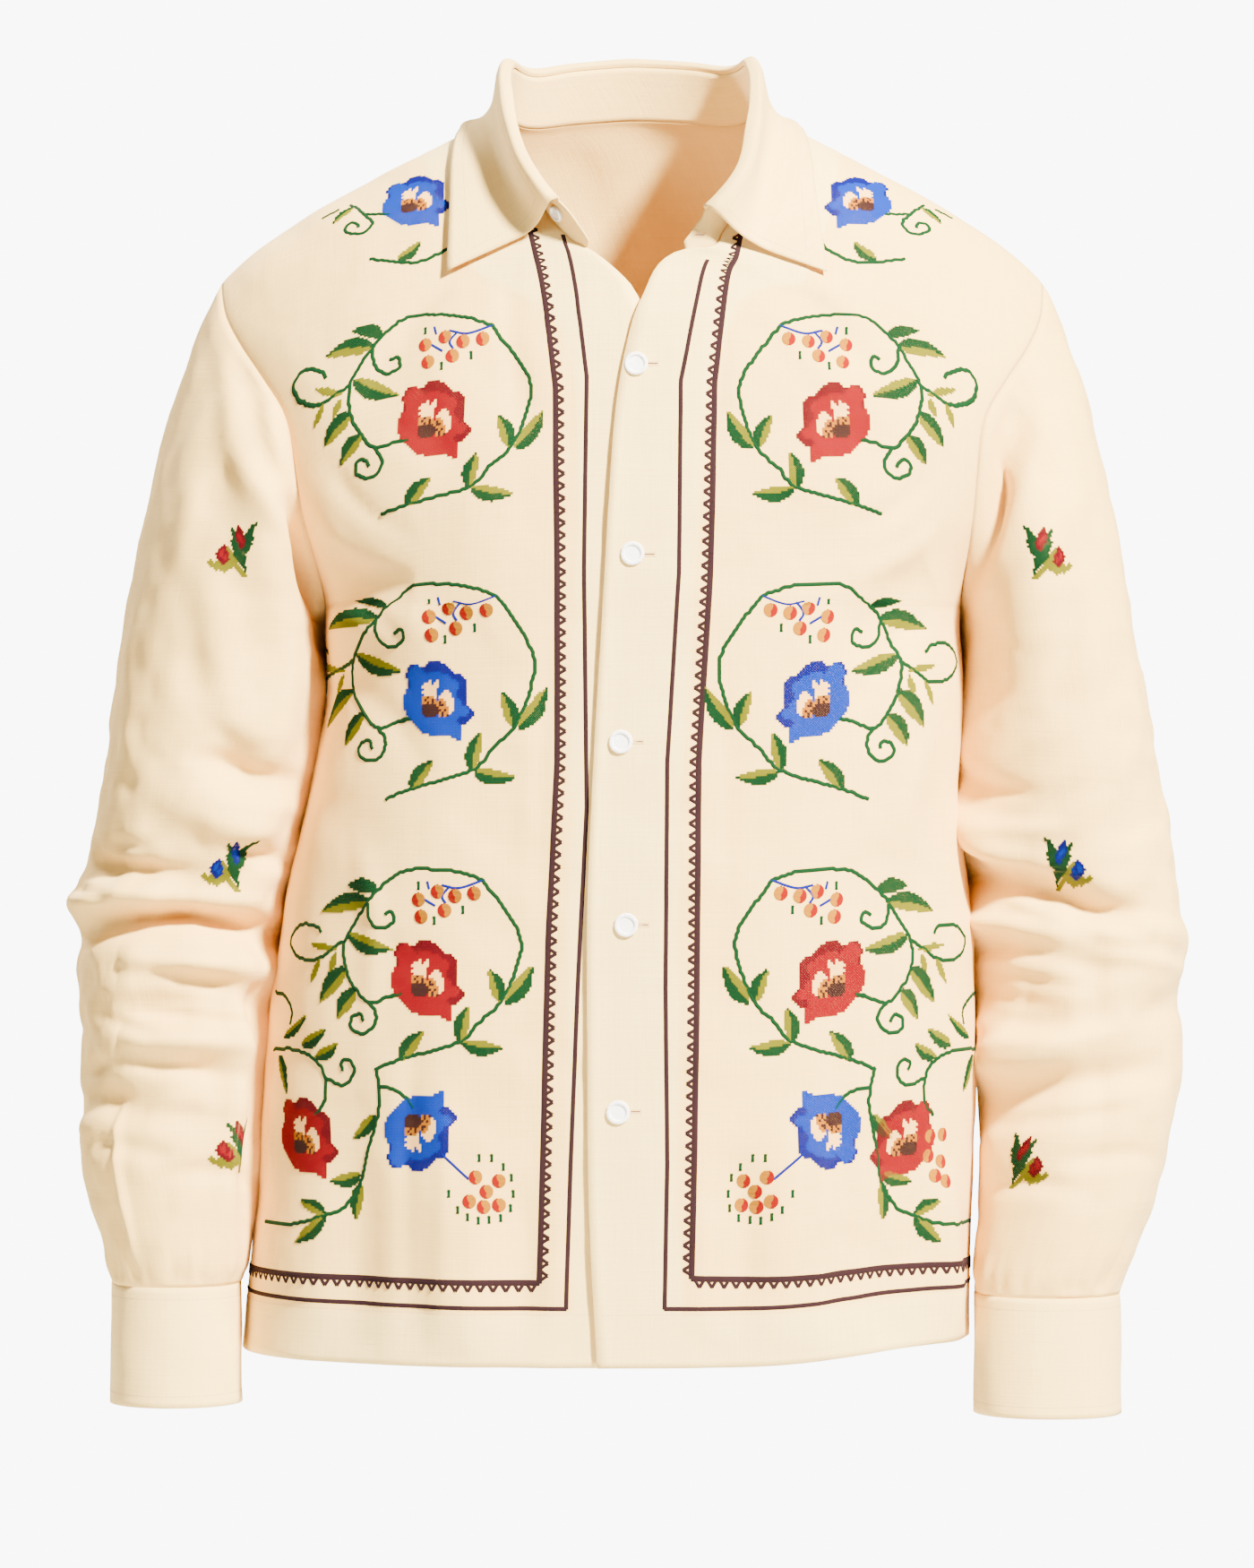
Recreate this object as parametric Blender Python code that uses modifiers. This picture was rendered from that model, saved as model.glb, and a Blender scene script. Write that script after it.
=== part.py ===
"""Long-sleeved shirt with a turned-down collar, as it hangs from a pair of shoulders.

The cloth pieces are walls: two fronts that lap, a back, two sleeves, two cuffs, a collar stand
and a collar.  Left and right are the wearer's: the left side lies at +X and the front faces -Y.
The origin is the middle of the neck opening, level with the neck ends of the shoulder seams.
Tables are in millimetres; the model is in metres.
"""

import math

import bmesh
import bpy
import numpy as np
from mathutils import Vector

MM = 0.001
CLOTH_THICKNESS = 1.2
SEAM_GAP = 0.3
LAP_OFFSET = 1.0       # each front moves this far from the shared surface where they lap
LAP_FADE = 48.0        # width over which that move fades out, from a little under as far away
LAP_FADE_START = 43.2
SEAM_FADE = 26.0       # folds fade out over this width next to a seam
SAME_WAY = 0.95        # normals closer than this count once at a seam
SHARP_FOLD = 0.2       # below this the two pieces' rims keep their own normals
SAME_PLACE = 20        # points count as one at a seam within a twentieth of a millimetre
LEAST_SLANT = 0.7      # a shared normal is lengthened no more than for this slant

ARMPIT_Z = -290.0
HEM_Z = -715.0
HEM_LIFT_LEFT = 8.0    # the hem rides up a little on the wearer's left
HEM_LIFT_START = 60.0  # x from which it rides up, and the width over which it does
HEM_LIFT_WIDTH = 130.0
FOLD_TAPER = 0.6       # how bluntly a fold ends
FOLD_TAPER_START = 0.02

# Level runs from the hem (-1) over the armpit (0) to the shoulder ridge (1).
TORSO_SECTIONS = (
    # level, middle_x, middle_y, half_width, front, back, squareness
    (-1.00, -12.5, 0.0, 209.5, 125.0, 104.0, 2.35),
    (-0.80, -7.5, 0.0, 207.0, 124.0, 101.0, 2.40),
    (-0.60, -3.5, 0.0, 205.0, 123.0, 99.0, 2.45),
    (-0.40, 0.5, 0.0, 198.0, 122.0, 100.0, 2.50),
    (-0.25, 3.6, 0.0, 188.0, 121.0, 104.0, 2.50),
    (-0.12, 10.5, 0.0, 184.0, 120.0, 108.0, 2.55),
    (0.00, 9.5, 0.0, 183.0, 119.0, 112.0, 2.60),
    (0.25, 6.0, 1.0, 210.0, 118.0, 113.0, 2.75),
    (0.50, 4.5, 2.0, 227.0, 118.0, 113.0, 2.80),
    (0.75, 4.0, 4.0, 245.0, 118.0, 112.0, 2.80),
    (1.00, 3.0, 5.0, 252.0, 118.0, 112.0, 2.80),
)
FRONT_FALL_OFF = 2.6   # how late the chest turns over to the shoulder ridge
BACK_FALL_OFF = 3.2
COLUMN_SHIFT = 1.5     # how late a panel's columns spread out along its shoulder seam
NECK_HOLLOW = 1.6      # how square the back's neck edge is
NORMAL_STEP = 0.02     # steps of angle and level between which a surface normal is taken
RIDGE = (
    # distance from the middle, height of the shoulder ridge
    (0.0, 44.0),
    (36.0, 27.0),
    (72.0, 0.0),
    (105.0, -17.0),
    (145.0, -37.0),
    (190.0, -62.0),
    (225.0, -87.0),
    (240.0, -101.0),
    (258.0, -119.0),
)
ARMHOLE = (
    # level, front edge, back edge, both as shares of the section's half width
    (0.00, 1.000, 1.000),
    (0.08, 0.975, 0.984),
    (0.22, 0.918, 0.950),
    (0.35, 0.890, 0.932),
    (0.48, 0.878, 0.930),
    (0.60, 0.897, 0.934),
    (0.75, 0.922, 0.942),
    (0.88, 0.942, 0.948),
    (1.00, 0.946, 0.946),
)

# Front edges: level, x.  The left front laps over the right one below the V of the neck, and
# from the level of the band's end up each edge is the neckline.
BAND_END_LEVEL = 0.624
LEFT_FRONT_EDGE = (
    (-1.00, -16.5), (-0.80, -21.0), (-0.60, -22.0), (-0.40, -22.0), (-0.25, -19.5), (-0.12, -16.5),
    (0.00, -13.5), (0.18, -10.0), (0.36, -5.0), (0.44, 0.0), (0.517, 8.0), (BAND_END_LEVEL, 33.0),
    (0.645, 46.0), (0.69, 54.5), (0.77, 61.5), (0.86, 67.0), (0.94, 71.7), (1.00, 74.0),
)
RIGHT_FRONT_EDGE = (
    (-1.00, 20.0), (-0.60, 17.0), (-0.25, 18.0), (0.00, 20.0), (0.30, 22.0), (0.38, 21.0),
    (0.44, 17.5), (0.517, 7.0), (BAND_END_LEVEL, -22.5),
    (0.645, -30.0), (0.69, -40.0), (0.77, -51.0), (0.86, -60.0), (0.94, -66.0), (1.00, -70.0),
)
BACK_NECK_Z = 3.0

UPPER_LEVELS = (
    0.10, 0.21, 0.33, 0.44, 0.54, BAND_END_LEVEL, 0.645, 0.69, 0.77, 0.86, 0.94, 0.985, 1.0,
)
LOWER_ROWS = 18
NECK_ROW = LOWER_ROWS + 1 + UPPER_LEVELS.index(BAND_END_LEVEL)
FRONT_COLUMNS = 12     # twice the back's columns along a shoulder seam
SHOULDER_COLUMNS = 6
BACK_NECK_COLUMNS = 4

# Sleeves: z, middle x outward, middle_y, half_width, half_depth
RIGHT_SLEEVE_SECTIONS = (
    (-676.0, 258.7, -28.0, 36.8, 38.0),
    (-668.0, 258.3, -27.5, 40.0, 41.5),
    (-652.0, 259.0, -26.0, 42.5, 46.0),
    (-625.0, 262.0, -22.0, 48.0, 51.0),
    (-590.0, 264.0, -18.0, 52.6, 55.0),
    (-549.0, 261.5, -12.0, 52.5, 58.0),
    (-510.0, 261.5, -6.0, 55.0, 61.0),
    (-476.0, 260.7, -2.0, 59.0, 64.0),
    (-434.0, 252.5, 0.0, 59.0, 67.0),
    (-394.0, 244.5, -2.0, 59.5, 69.0),
    (-340.0, 236.0, -4.0, 60.5, 71.0),
)
LEFT_SLEEVE_SECTIONS = (
    (-682.0, 241.5, -28.0, 41.5, 40.0),
    (-673.0, 242.0, -27.5, 43.5, 43.0),
    (-656.0, 247.0, -26.0, 46.0, 47.0),
    (-630.0, 253.5, -22.0, 50.0, 52.0),
    (-600.0, 257.5, -18.0, 53.0, 56.0),
    (-565.0, 261.0, -12.0, 57.0, 59.0),
    (-517.0, 261.0, -6.0, 58.5, 62.0),
    (-467.0, 260.0, -2.0, 59.0, 65.0),
    (-425.0, 256.0, 0.0, 59.0, 68.0),
    (-384.0, 251.0, -2.0, 57.5, 70.0),
    (-340.0, 248.0, -4.0, 52.0, 72.0),
)
SLEEVE_SQUARENESS = 2.15
SLEEVE_LEAVE = (0.55, 0.42, -0.20, -0.85)  # how a sleeve leaves its armhole: out, out on top, ahead, up
SLEEVE_ARRIVE = 10.0   # drop over which the way at the end of its cap is taken
CAP_ROWS = 7
ARM_ROWS = 21
CUFF_LENGTH = 68.0
CUFF_ROWS = 2
CUFF_COLUMNS = 26
CUFF_LAP_START = 300.0  # degrees round the arm at which the cuff's outer end lies, 270 at the back
CUFF_LAP = 32.0         # degrees that the cuff's ends lap
CUFF_LAP_OFFSET = 1.9
CUFF_LAP_FADE = 40.0    # degrees over which that offset fades out
CUFF_FORWARD = 4.0      # a cuff's lower edge stands this far ahead of its upper one
CUFF_FLARE = (0.6, 0.8)  # and is wider by these radii

# The collar stand's height and its lean outward in degrees on the wearer's left and right, by
# share of the way from the back middle to the band's end.
STAND_RISE = (
    # share, height, lean_left, lean_right
    (0.00, 32.0, -17.0, -17.0),
    (0.22, 31.0, -16.0, -16.0),
    (0.42, 26.5, -12.0, -10.0),
    (0.58, 24.0, 2.0, 6.0),
    (0.70, 23.0, 14.0, 20.0),
    (0.80, 22.5, 20.0, 32.0),
    (0.89, 21.5, 12.0, 38.0),
    (0.95, 16.0, 6.0, 38.0),
    (1.00, 5.0, 0.0, 38.0),
)
STAND_ROWS = 2
# Outer edge of the collar: share as above, x, y, z of the left half; y is kept clear of the cloth.
COLLAR_EDGE = (
    (0.00, 0.0, 89.0, -13.0),
    (0.14, 44.0, 83.0, -14.0),
    (0.28, 77.0, 55.0, -9.0),
    (0.42, 96.0, 10.0, -4.0),
    (0.56, 101.0, -34.0, -27.0),
    (0.73, 103.0, -66.0, -62.0),
    (0.90, 106.5, -88.0, -102.0),
)
COLLAR_END_SHARE = 0.90
COLLAR_SHIFT_FRONT = 7.0   # the open collar hangs a little to the wearer's left in front
COLLAR_CLEARANCE = 4.6
COLLAR_RISE = 3.0          # the leaf runs on up from the stand this far, then turns over
COLLAR_ROLL = 3.6
COLLAR_BREAK = 0.2         # the leaf leaves the stand this far along the way to its edge
COLLAR_LIFT = 6.5
COLLAR_KNOTS = (0.0, 0.06, 0.13, 0.45, 1.0)  # start, rise, roll, break and edge of the leaf
COLLAR_STEPS = (0.0, 0.06, 0.13, 0.26, 0.37, 0.48, 0.72, 1.0)

BUTTON_RADIUS = 6.75
BUTTON_THICKNESS = 2.6
SMALL_BUTTON_RADIUS = 5.0
SMALL_BUTTON_THICKNESS = 2.2
BUTTON_SIDES = 16
# Places of the small buttons on their pieces' grids: piece, row, column.
SMALL_BUTTONS = (
    ("button_collar", "collar_stand", 1, 4),
    ("button_cuff_left", "cuff_left", 1, 1),
    ("button_cuff_right", "cuff_right", 1, 1),
)
# Level and x of the five front buttons, from the top down.
FRONT_BUTTONS = (
    (0.404, 5.0), (0.085, 3.0), (-0.18, -3.5), (-0.42, -0.5), (-0.665, -5.0),
)

# Folds of the torso's front: points (x, z) along the fold, width and depth; depth below zero is a trough.
FRONT_FOLDS = (
    # x0, z0, x1, z1, x2, z2, width, depth
    (-176, -262, -150, -276, -118, -282, 15, -5.0),
    (-172, -300, -140, -296, -104, -300, 17, 4.0),
    (-158, -560, -152, -640, -156, -712, 20, -6.0),
    (-84, -600, -88, -660, -92, -714, 18, 4.5),
    (172, -268, 150, -290, 132, -330, 18, -5.0),
    (166, -330, 158, -380, 148, -430, 20, 4.5),
    (176, -600, 182, -660, 184, -712, 14, 6.0),
    (150, -560, 146, -640, 150, -712, 22, -5.0),
    (92, -560, 90, -640, 94, -712, 20, 4.0),
)
BACK_FOLDS = (
    (-150, -250, -110, -290, -60, -300, 20, -5.0),
    (150, -250, 112, -288, 66, -304, 20, -5.0),
    (-120, -420, -112, -560, -118, -712, 26, -7.0),
    (-52, -440, -46, -580, -50, -712, 26, 6.0),
    (38, -430, 44, -570, 40, -712, 26, -6.5),
    (112, -420, 120, -560, 116, -712, 26, 6.0),
)
# Folds of the sleeves: points (turn, z); turn 0 lies outward, 90 in front, 180 at the torso, 270 behind.
RIGHT_SLEEVE_FOLDS = (
    # turn0, z0, turn1, z1, turn2, z2, width, depth
    (108, -170, 140, -226, 166, -300, 14, -13.0),
    (64, -160, 96, -230, 128, -312, 16, 5.0),
    (92, -368, 112, -384, 140, -396, 12, -4.5),
    (80, -398, 110, -412, 150, -418, 12, 4.0),
    (20, -440, 70, -446, 130, -452, 10, -5.0),
    (-30, -462, 40, -456, 100, -458, 12, 5.0),
    (-6, -484, 76, -468, 172, -480, 10, -10.0),
    (60, -494, 110, -492, 170, -498, 10, 5.0),
    (70, -512, 110, -508, 165, -516, 10, -4.5),
    (60, -532, 100, -536, 150, -534, 10, 4.0),
    (-10, -582, 40, -569, 120, -577, 11, -5.5),
    (200, -452, 262, -470, 330, -462, 14, -7.0),
    (205, -500, 265, -505, 325, -520, 14, -5.0),
    (210, -380, 250, -400, 300, -430, 16, 4.5),
    (230, -590, 270, -600, 320, -596, 14, -4.5),
)
LEFT_SLEEVE_FOLDS = (
    (62, -168, 96, -222, 140, -268, 11, -9.0),
    (60, -222, 92, -262, 122, -312, 16, 4.5),
    (176, -392, 150, -420, 120, -436, 13, 6.0),
    (178, -442, 120, -452, 50, -470, 10, -9.0),
    (0, -486, 40, -472, 84, -462, 12, 5.0),
    (178, -468, 140, -472, 96, -484, 10, 5.0),
    (178, -486, 130, -480, 84, -492, 10, -6.0),
    (178, -508, 140, -512, 96, -520, 11, -4.5),
    (176, -552, 130, -548, 90, -538, 12, 5.0),
    (70, -524, 34, -518, 4, -512, 12, -5.0),
    (172, -574, 110, -560, 30, -550, 12, -5.5),
    (200, -455, 262, -474, 330, -466, 14, -7.0),
    (205, -505, 265, -508, 325, -522, 14, -5.0),
    (210, -384, 250, -404, 300, -434, 16, 4.5),
    (230, -594, 270, -604, 320, -600, 14, -4.5),
)

CLOTH_COLOUR = (0.90, 0.77, 0.58, 1.0)
BUTTON_COLOUR = (0.93, 0.91, 0.86, 1.0)


def curve(rows, at):
    """The further columns of a table at places in its first column, smooth through the rows."""
    rows = np.asarray(rows, float)
    rows = rows[np.argsort(rows[:, 0])]
    key, values = rows[:, 0], rows[:, 1:]
    slope = np.gradient(values, key, axis=0)
    at = np.asarray(at, float)
    i = np.clip(np.searchsorted(key, at, side="right") - 1, 0, len(key) - 2)
    span = (key[i + 1] - key[i])[..., None]
    f = np.clip((at - key[i])[..., None] / span, 0.0, 1.0)
    return (
        (2 * f**3 - 3 * f**2 + 1) * values[i]
        + (f**3 - 2 * f**2 + f) * span * slope[i]
        + (3 * f**2 - 2 * f**3) * values[i + 1]
        + (f**3 - f**2) * span * slope[i + 1]
    )


def signed_power(value, power):
    return np.sign(value) * np.abs(value) ** power


def mix(a, b, share):
    return a + (b - a) * share


def fade(value):
    value = np.clip(value, 0.0, 1.0)
    return value * value * (3 - 2 * value)


def ridge_height(x):
    middle = TORSO_SECTIONS[-1][1]
    return curve(RIDGE, np.abs(x - middle))[..., 0]


def fullness(level, fall_off):
    """How far the cloth still stands out from the shoulder ridge at a level."""
    return np.sqrt(np.clip(1.0 - np.clip(level, 0.0, 1.0) ** fall_off, 0.0, 1.0))


def torso_point(angle, level, back=False):
    """A point of the torso's cloth; angle 0 is its middle line, 90 degrees its side."""
    angle, level = np.broadcast_arrays(np.asarray(angle, float), np.asarray(level, float))
    middle_x, middle_y, half, front, rear, square = np.moveaxis(curve(TORSO_SECTIONS, level), -1, 0)
    x = middle_x + half * signed_power(np.sin(angle), 2 / square)
    depth = np.abs(np.cos(angle)) ** (2 / square)
    if back:
        y = middle_y + rear * depth * fullness(level, BACK_FALL_OFF)
    else:
        y = middle_y - front * depth * fullness(level, FRONT_FALL_OFF)
    lift = HEM_LIFT_LEFT * np.clip(-level, 0, 1) ** 2 * fade((x - HEM_LIFT_START) / HEM_LIFT_WIDTH)
    below = ARMPIT_Z - (ARMPIT_Z - HEM_Z) * -level + lift
    above = ARMPIT_Z + level * (ridge_height(x) - ARMPIT_Z)
    return np.stack([x, y, np.where(level < 0, below, above)], axis=-1)


def torso_angle(x, level):
    """The angle at which the torso's section has this x."""
    middle_x, _, half, _, _, square = np.moveaxis(curve(TORSO_SECTIONS, level), -1, 0)
    return np.arcsin(np.clip(signed_power((x - middle_x) / half, square / 2), -1.0, 1.0))


def torso_level(x, z):
    """The level at which the torso's cloth has this x and height."""
    above = (z - ARMPIT_Z) / (ridge_height(x) - ARMPIT_Z)
    return np.where(z < ARMPIT_Z, (z - ARMPIT_Z) / (ARMPIT_Z - HEM_Z), above)


def torso_depth(x, z, back=False):
    """The y of the torso's cloth at x and z."""
    level = np.clip(torso_level(x, z), -1.0, 1.0)
    return torso_point(torso_angle(x, level), level, back)[..., 1]


def armhole_angle(level, back):
    share = curve(ARMHOLE, level)[..., 1 if back else 0]
    square = curve(TORSO_SECTIONS, level)[..., 5]
    return np.arcsin(np.clip(share, 0.0, 1.0) ** (square / 2))


def row_levels():
    lower = np.linspace(-1.0, 0.0, LOWER_ROWS + 1)
    return np.concatenate([lower, UPPER_LEVELS])


def neck_end_x(side):
    """x of the neck end of a shoulder seam."""
    return (LEFT_FRONT_EDGE if side > 0 else RIGHT_FRONT_EDGE)[-1][1]


def shoulder_x(side, share):
    """x along a shoulder seam, from the neck to the sleeve."""
    top = TORSO_SECTIONS[-1]
    tip = top[1] + side * top[3] * ARMHOLE[-1][1]
    return mix(neck_end_x(side), tip, share)


def arm_angle(side, level, back):
    return side * (armhole_angle(level, back) if level > 0 else math.pi / 2)


def panel_points(edge_angle, side, top_x, top_level, back):
    """Rows of a panel from the hem up; its columns run from one edge towards the armhole."""
    across = np.linspace(0, 1, len(top_x))
    top_edge = edge_angle(top_level[0])
    top_share = (torso_angle(top_x, top_level) - top_edge) / (arm_angle(side, 1.0, back) - top_edge)
    rows = []
    for level in row_levels():
        share = mix(across, top_share, max(level, 0.0) ** COLUMN_SHIFT)
        column_level = level * top_level if level > 0 else np.full_like(across, level)
        angle = mix(edge_angle(column_level[0]), arm_angle(side, level, back), share)
        rows.append(torso_point(angle, column_level, back))
    return np.array(rows)


def front_points(side):
    """Outer points of one front, before folds; side is 1 for the wearer's left."""
    edge = LEFT_FRONT_EDGE if side > 0 else RIGHT_FRONT_EDGE

    def edge_angle(level):
        return torso_angle(curve(edge, level)[..., 0], level)

    top_x = shoulder_x(side, np.linspace(0, 1, FRONT_COLUMNS + 1))
    points = panel_points(edge_angle, side, top_x, np.ones(FRONT_COLUMNS + 1), False)
    points[-1, 1::2] = (points[-1, :-1:2] + points[-1, 2::2]) / 2
    return points


def back_half_points(side):
    """Outer points of half the back, from its middle line to one side."""
    middle = TORSO_SECTIONS[-1][1] - 1.0
    turn = np.linspace(0, math.pi / 2, BACK_NECK_COLUMNS + 1)
    neck_x = mix(middle, neck_end_x(side), np.sin(turn))
    neck_level = mix(1.0, float(torso_level(middle, BACK_NECK_Z)), np.cos(turn) ** NECK_HOLLOW)
    shoulder = shoulder_x(side, np.linspace(0, 1, SHOULDER_COLUMNS + 1))
    top_x = np.concatenate([neck_x, shoulder[1:]])
    top_level = np.concatenate([neck_level, np.ones(SHOULDER_COLUMNS)])

    def middle_angle(level):
        return torso_angle(middle * np.clip(level, 0, 1), level)

    return panel_points(middle_angle, side, top_x, top_level, True)


def back_points():
    right, left = back_half_points(-1), back_half_points(1)
    return np.concatenate([right[:, ::-1], left[:, 1:]], axis=1)


def section_ring(sections, z, turn, side):
    """Points of a sleeve's section at height z; turn in radians, 0 outward, a quarter in front."""
    middle, middle_y, half, depth = np.moveaxis(curve(sections, z), -1, 0)
    power = 2 / SLEEVE_SQUARENESS
    x = side * (middle + half * signed_power(np.cos(turn), power))
    y = middle_y - depth * signed_power(np.sin(turn), power)
    return np.stack([x, y, np.broadcast_to(z, x.shape)], axis=-1)


def armhole_ring(front, back, side):
    """The armhole from the shoulder seam down the front, under the arm and up the back."""
    edge = LOWER_ROWS
    front_edge = front[edge:, -1]
    back_edge = back[edge:, -1 if side > 0 else 0]
    return np.concatenate([front_edge[::-1], back_edge[1:-1]])


def ring_turns(ring, armpit):
    """A turn for each point of the armhole by its share of the way from shoulder to armpit."""
    closed = np.concatenate([ring, ring[:1]])
    steps = np.linalg.norm(np.diff(closed, axis=0), axis=1)
    way = np.concatenate([[0.0], np.cumsum(steps)])
    front = way[: armpit + 1] / way[armpit] * math.pi
    behind = math.pi + (way[armpit + 1 : -1] - way[armpit]) / (way[-1] - way[armpit]) * math.pi
    return np.concatenate([front, behind])


def sleeve_points(sections, ring, side):
    """Rows of a sleeve from the armhole down; its columns start at the shoulder seam."""
    armpit = len(UPPER_LEVELS)
    turn = ring_turns(ring, armpit)
    cap_z, cuff_z = sections[-1][0], sections[0][0]
    end = section_ring(sections, np.full(len(turn), cap_z), turn, side)
    below = section_ring(sections, np.full(len(turn), cap_z - SLEEVE_ARRIVE), turn, side)
    reach = np.linalg.norm(end - ring, axis=1)[:, None]
    outward, outward_on_top, ahead, upward = SLEEVE_LEAVE
    leave = np.stack([
        side * mix(outward, outward_on_top, np.abs(np.cos(turn))),
        ahead * np.sin(turn),
        np.full(len(turn), upward),
    ], axis=-1)
    arrive = below - end
    arrive /= np.linalg.norm(arrive, axis=1)[:, None]
    rows = []
    for f in np.linspace(0, 1, CAP_ROWS + 1):
        rows.append(
            (2 * f**3 - 3 * f**2 + 1) * ring
            + (f**3 - 2 * f**2 + f) * reach * leave
            + (3 * f**2 - 2 * f**3) * end
            + (f**3 - f**2) * reach * arrive
        )
    for z in np.linspace(cap_z, cuff_z, ARM_ROWS + 1)[1:]:
        rows.append(section_ring(sections, np.full(len(turn), z), turn, side))
    return np.array(rows), turn


def cuff_points(sections, side):
    """A band round the wrist whose ends lap behind."""
    top = sections[0]
    lap_end = CUFF_LAP_START + 360.0 + CUFF_LAP
    turn_degrees = np.linspace(CUFF_LAP_START, lap_end, CUFF_COLUMNS + 1)
    turn = np.radians(turn_degrees)
    outward = CUFF_LAP_OFFSET * (1 - fade((turn_degrees - CUFF_LAP_START - CUFF_LAP) / CUFF_LAP_FADE))
    rows = []
    for share in np.linspace(0, 1, CUFF_ROWS + 1):
        z = top[0] - CUFF_LENGTH * share
        wider, deeper = CUFF_FLARE
        section = (
            top[1], top[2] - CUFF_FORWARD * share, top[3] + wider * share, top[4] + deeper * share,
        )
        ring = section_ring(((z, *section), (z + 1, *section)), np.full(len(turn), z), turn, side)
        away = np.stack([side * np.cos(turn), -np.sin(turn), np.zeros(len(turn))], axis=-1)
        rows.append(ring + away * outward[:, None])
    return np.array(rows)


def neck_seam(left_front, right_front, back):
    """The neck seam from the right band's end round the back to the left band's end."""
    right = right_front[NECK_ROW:, 0]
    left = left_front[NECK_ROW:, 0]
    behind = back[-1, SHOULDER_COLUMNS : SHOULDER_COLUMNS + 2 * BACK_NECK_COLUMNS + 1]
    return np.concatenate([right, behind[1:-1], left[::-1]])


def halved(points):
    """A line of points with the middle of each step added."""
    line = np.empty((2 * len(points) - 1, points.shape[1]))
    line[::2] = points
    line[1::2] = (points[1:] + points[:-1]) / 2
    return line


def rounded(points):
    """A line of points with the middle of each step added on a smooth curve."""
    places = np.arange(len(points), dtype=float)
    return curve(np.column_stack([places, points]), np.linspace(0, len(points) - 1, 2 * len(points) - 1))


def neck_shares(seam):
    """-1 at the right band's end, 0 at the back middle and 1 at the left, by length, steps halved."""
    line = halved(seam)
    way = np.concatenate([[0.0], np.cumsum(np.linalg.norm(np.diff(line, axis=0), axis=1))])
    middle = way[2 * (len(seam) // 2)]
    return np.where(way < middle, way / middle - 1.0, (way - middle) / (way[-1] - middle))


def stand_top(seam, share):
    """The stand's top, square to the neck seam and leaning as in the table."""
    height, lean_left, lean_right = np.moveaxis(curve(STAND_RISE, np.abs(share)), -1, 0)
    lean = np.radians(np.where(share > 0, lean_left, lean_right))[:, None]
    along = np.gradient(seam, axis=0)
    along /= np.linalg.norm(along, axis=1)[:, None]
    up = np.array([0.0, 0.0, 1.0]) - along[:, 2:] * along
    up /= np.linalg.norm(up, axis=1)[:, None]
    out = np.cross(up, along)
    return seam + height[:, None] * (np.cos(lean) * up + np.sin(lean) * out)


def stand_points(seam):
    """The band: its foot runs straight between the seam's points, its top on a smooth curve."""
    top = stand_top(rounded(seam), neck_shares(seam))
    return np.array([mix(halved(seam), top, step) for step in np.linspace(0, 1, STAND_ROWS + 1)])


def collar_points(seam, seam_normals):
    """The turned-down leaf from above the stand over its roll to its outer edge."""
    share = neck_shares(seam)
    covered = np.abs(share) < COLLAR_END_SHARE + 0.01
    share, foot = share[covered], rounded(seam)[covered]
    top = stand_top(foot, share)
    up = top - foot
    up /= np.linalg.norm(up, axis=1)[:, None]
    out = np.cross(up, np.gradient(top, axis=0))
    out /= np.linalg.norm(out, axis=1)[:, None]
    edge = curve(COLLAR_EDGE, np.abs(share))
    edge[:, 0] = np.sign(share) * edge[:, 0] + COLLAR_SHIFT_FRONT * np.abs(share) ** 2
    start = top + up * SEAM_GAP - out * CLOTH_THICKNESS
    rise = start + up * COLLAR_RISE
    roll = top + up * (COLLAR_RISE + COLLAR_ROLL / 2) + out * COLLAR_ROLL
    over = mix(foot, edge, COLLAR_BREAK) + halved(seam_normals)[covered] * COLLAR_LIFT + out
    rows = []
    for f in COLLAR_STEPS:
        row = np.array([
            curve(np.column_stack([COLLAR_KNOTS, line]), f)
            for line in np.stack([start, rise, roll, over, edge], axis=1)
        ])
        rows.append(clear_of_torso(row) if f > COLLAR_KNOTS[3] else row)
    return np.array(rows)


def torso_height(x, y, back):
    """Height at which the torso's cloth above the armpit has this x and y."""
    level = 0.6
    for _ in range(4):
        middle_y, front, rear = np.moveaxis(curve(TORSO_SECTIONS, level), -1, 0)[[1, 3, 4]]
        angle = torso_angle(x, level)
        square = curve(TORSO_SECTIONS, level)[..., 5]
        reach = (rear if back else front) * np.cos(angle) ** (2 / square)
        share = np.clip((y - middle_y) * (1 if back else -1) / reach, 0.0, 1.0)
        level = (1 - share**2) ** (1 / (BACK_FALL_OFF if back else FRONT_FALL_OFF))
    return ARMPIT_Z + level * (ridge_height(x) - ARMPIT_Z)


def clear_of_torso(points):
    """Points moved square off the torso's cloth until they clear it."""
    moved = points.copy()
    for point in moved:
        back = point[1] > TORSO_SECTIONS[-1][2]
        for _ in range(4):
            here = torso_height(point[0], point[1], back)
            normal = np.array([
                here - torso_height(point[0] + 1.0, point[1], back),
                here - torso_height(point[0], point[1] + 1.0, back),
                1.0,
            ])
            length = np.linalg.norm(normal)
            gap = (point[2] - here) / length
            point += max(COLLAR_CLEARANCE - gap, 0.0) * normal / length
    return moved


def grid_normals(points, closed):
    """Outward normals of a grid of points whose columns run one way round the piece."""
    down = np.gradient(points, axis=0)
    if closed:
        across = (np.roll(points, -1, axis=1) - np.roll(points, 1, axis=1)) / 2
    else:
        across = np.gradient(points, axis=1)
    normal = np.cross(down, across)
    return normal / np.maximum(np.linalg.norm(normal, axis=-1, keepdims=True), 1e-9)


def facing_out(points, normals, centre):
    """The normals, all turned together so that they point away from a line through the piece."""
    away = points - centre
    return normals if np.sum(normals * away) > 0 else -normals


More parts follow.
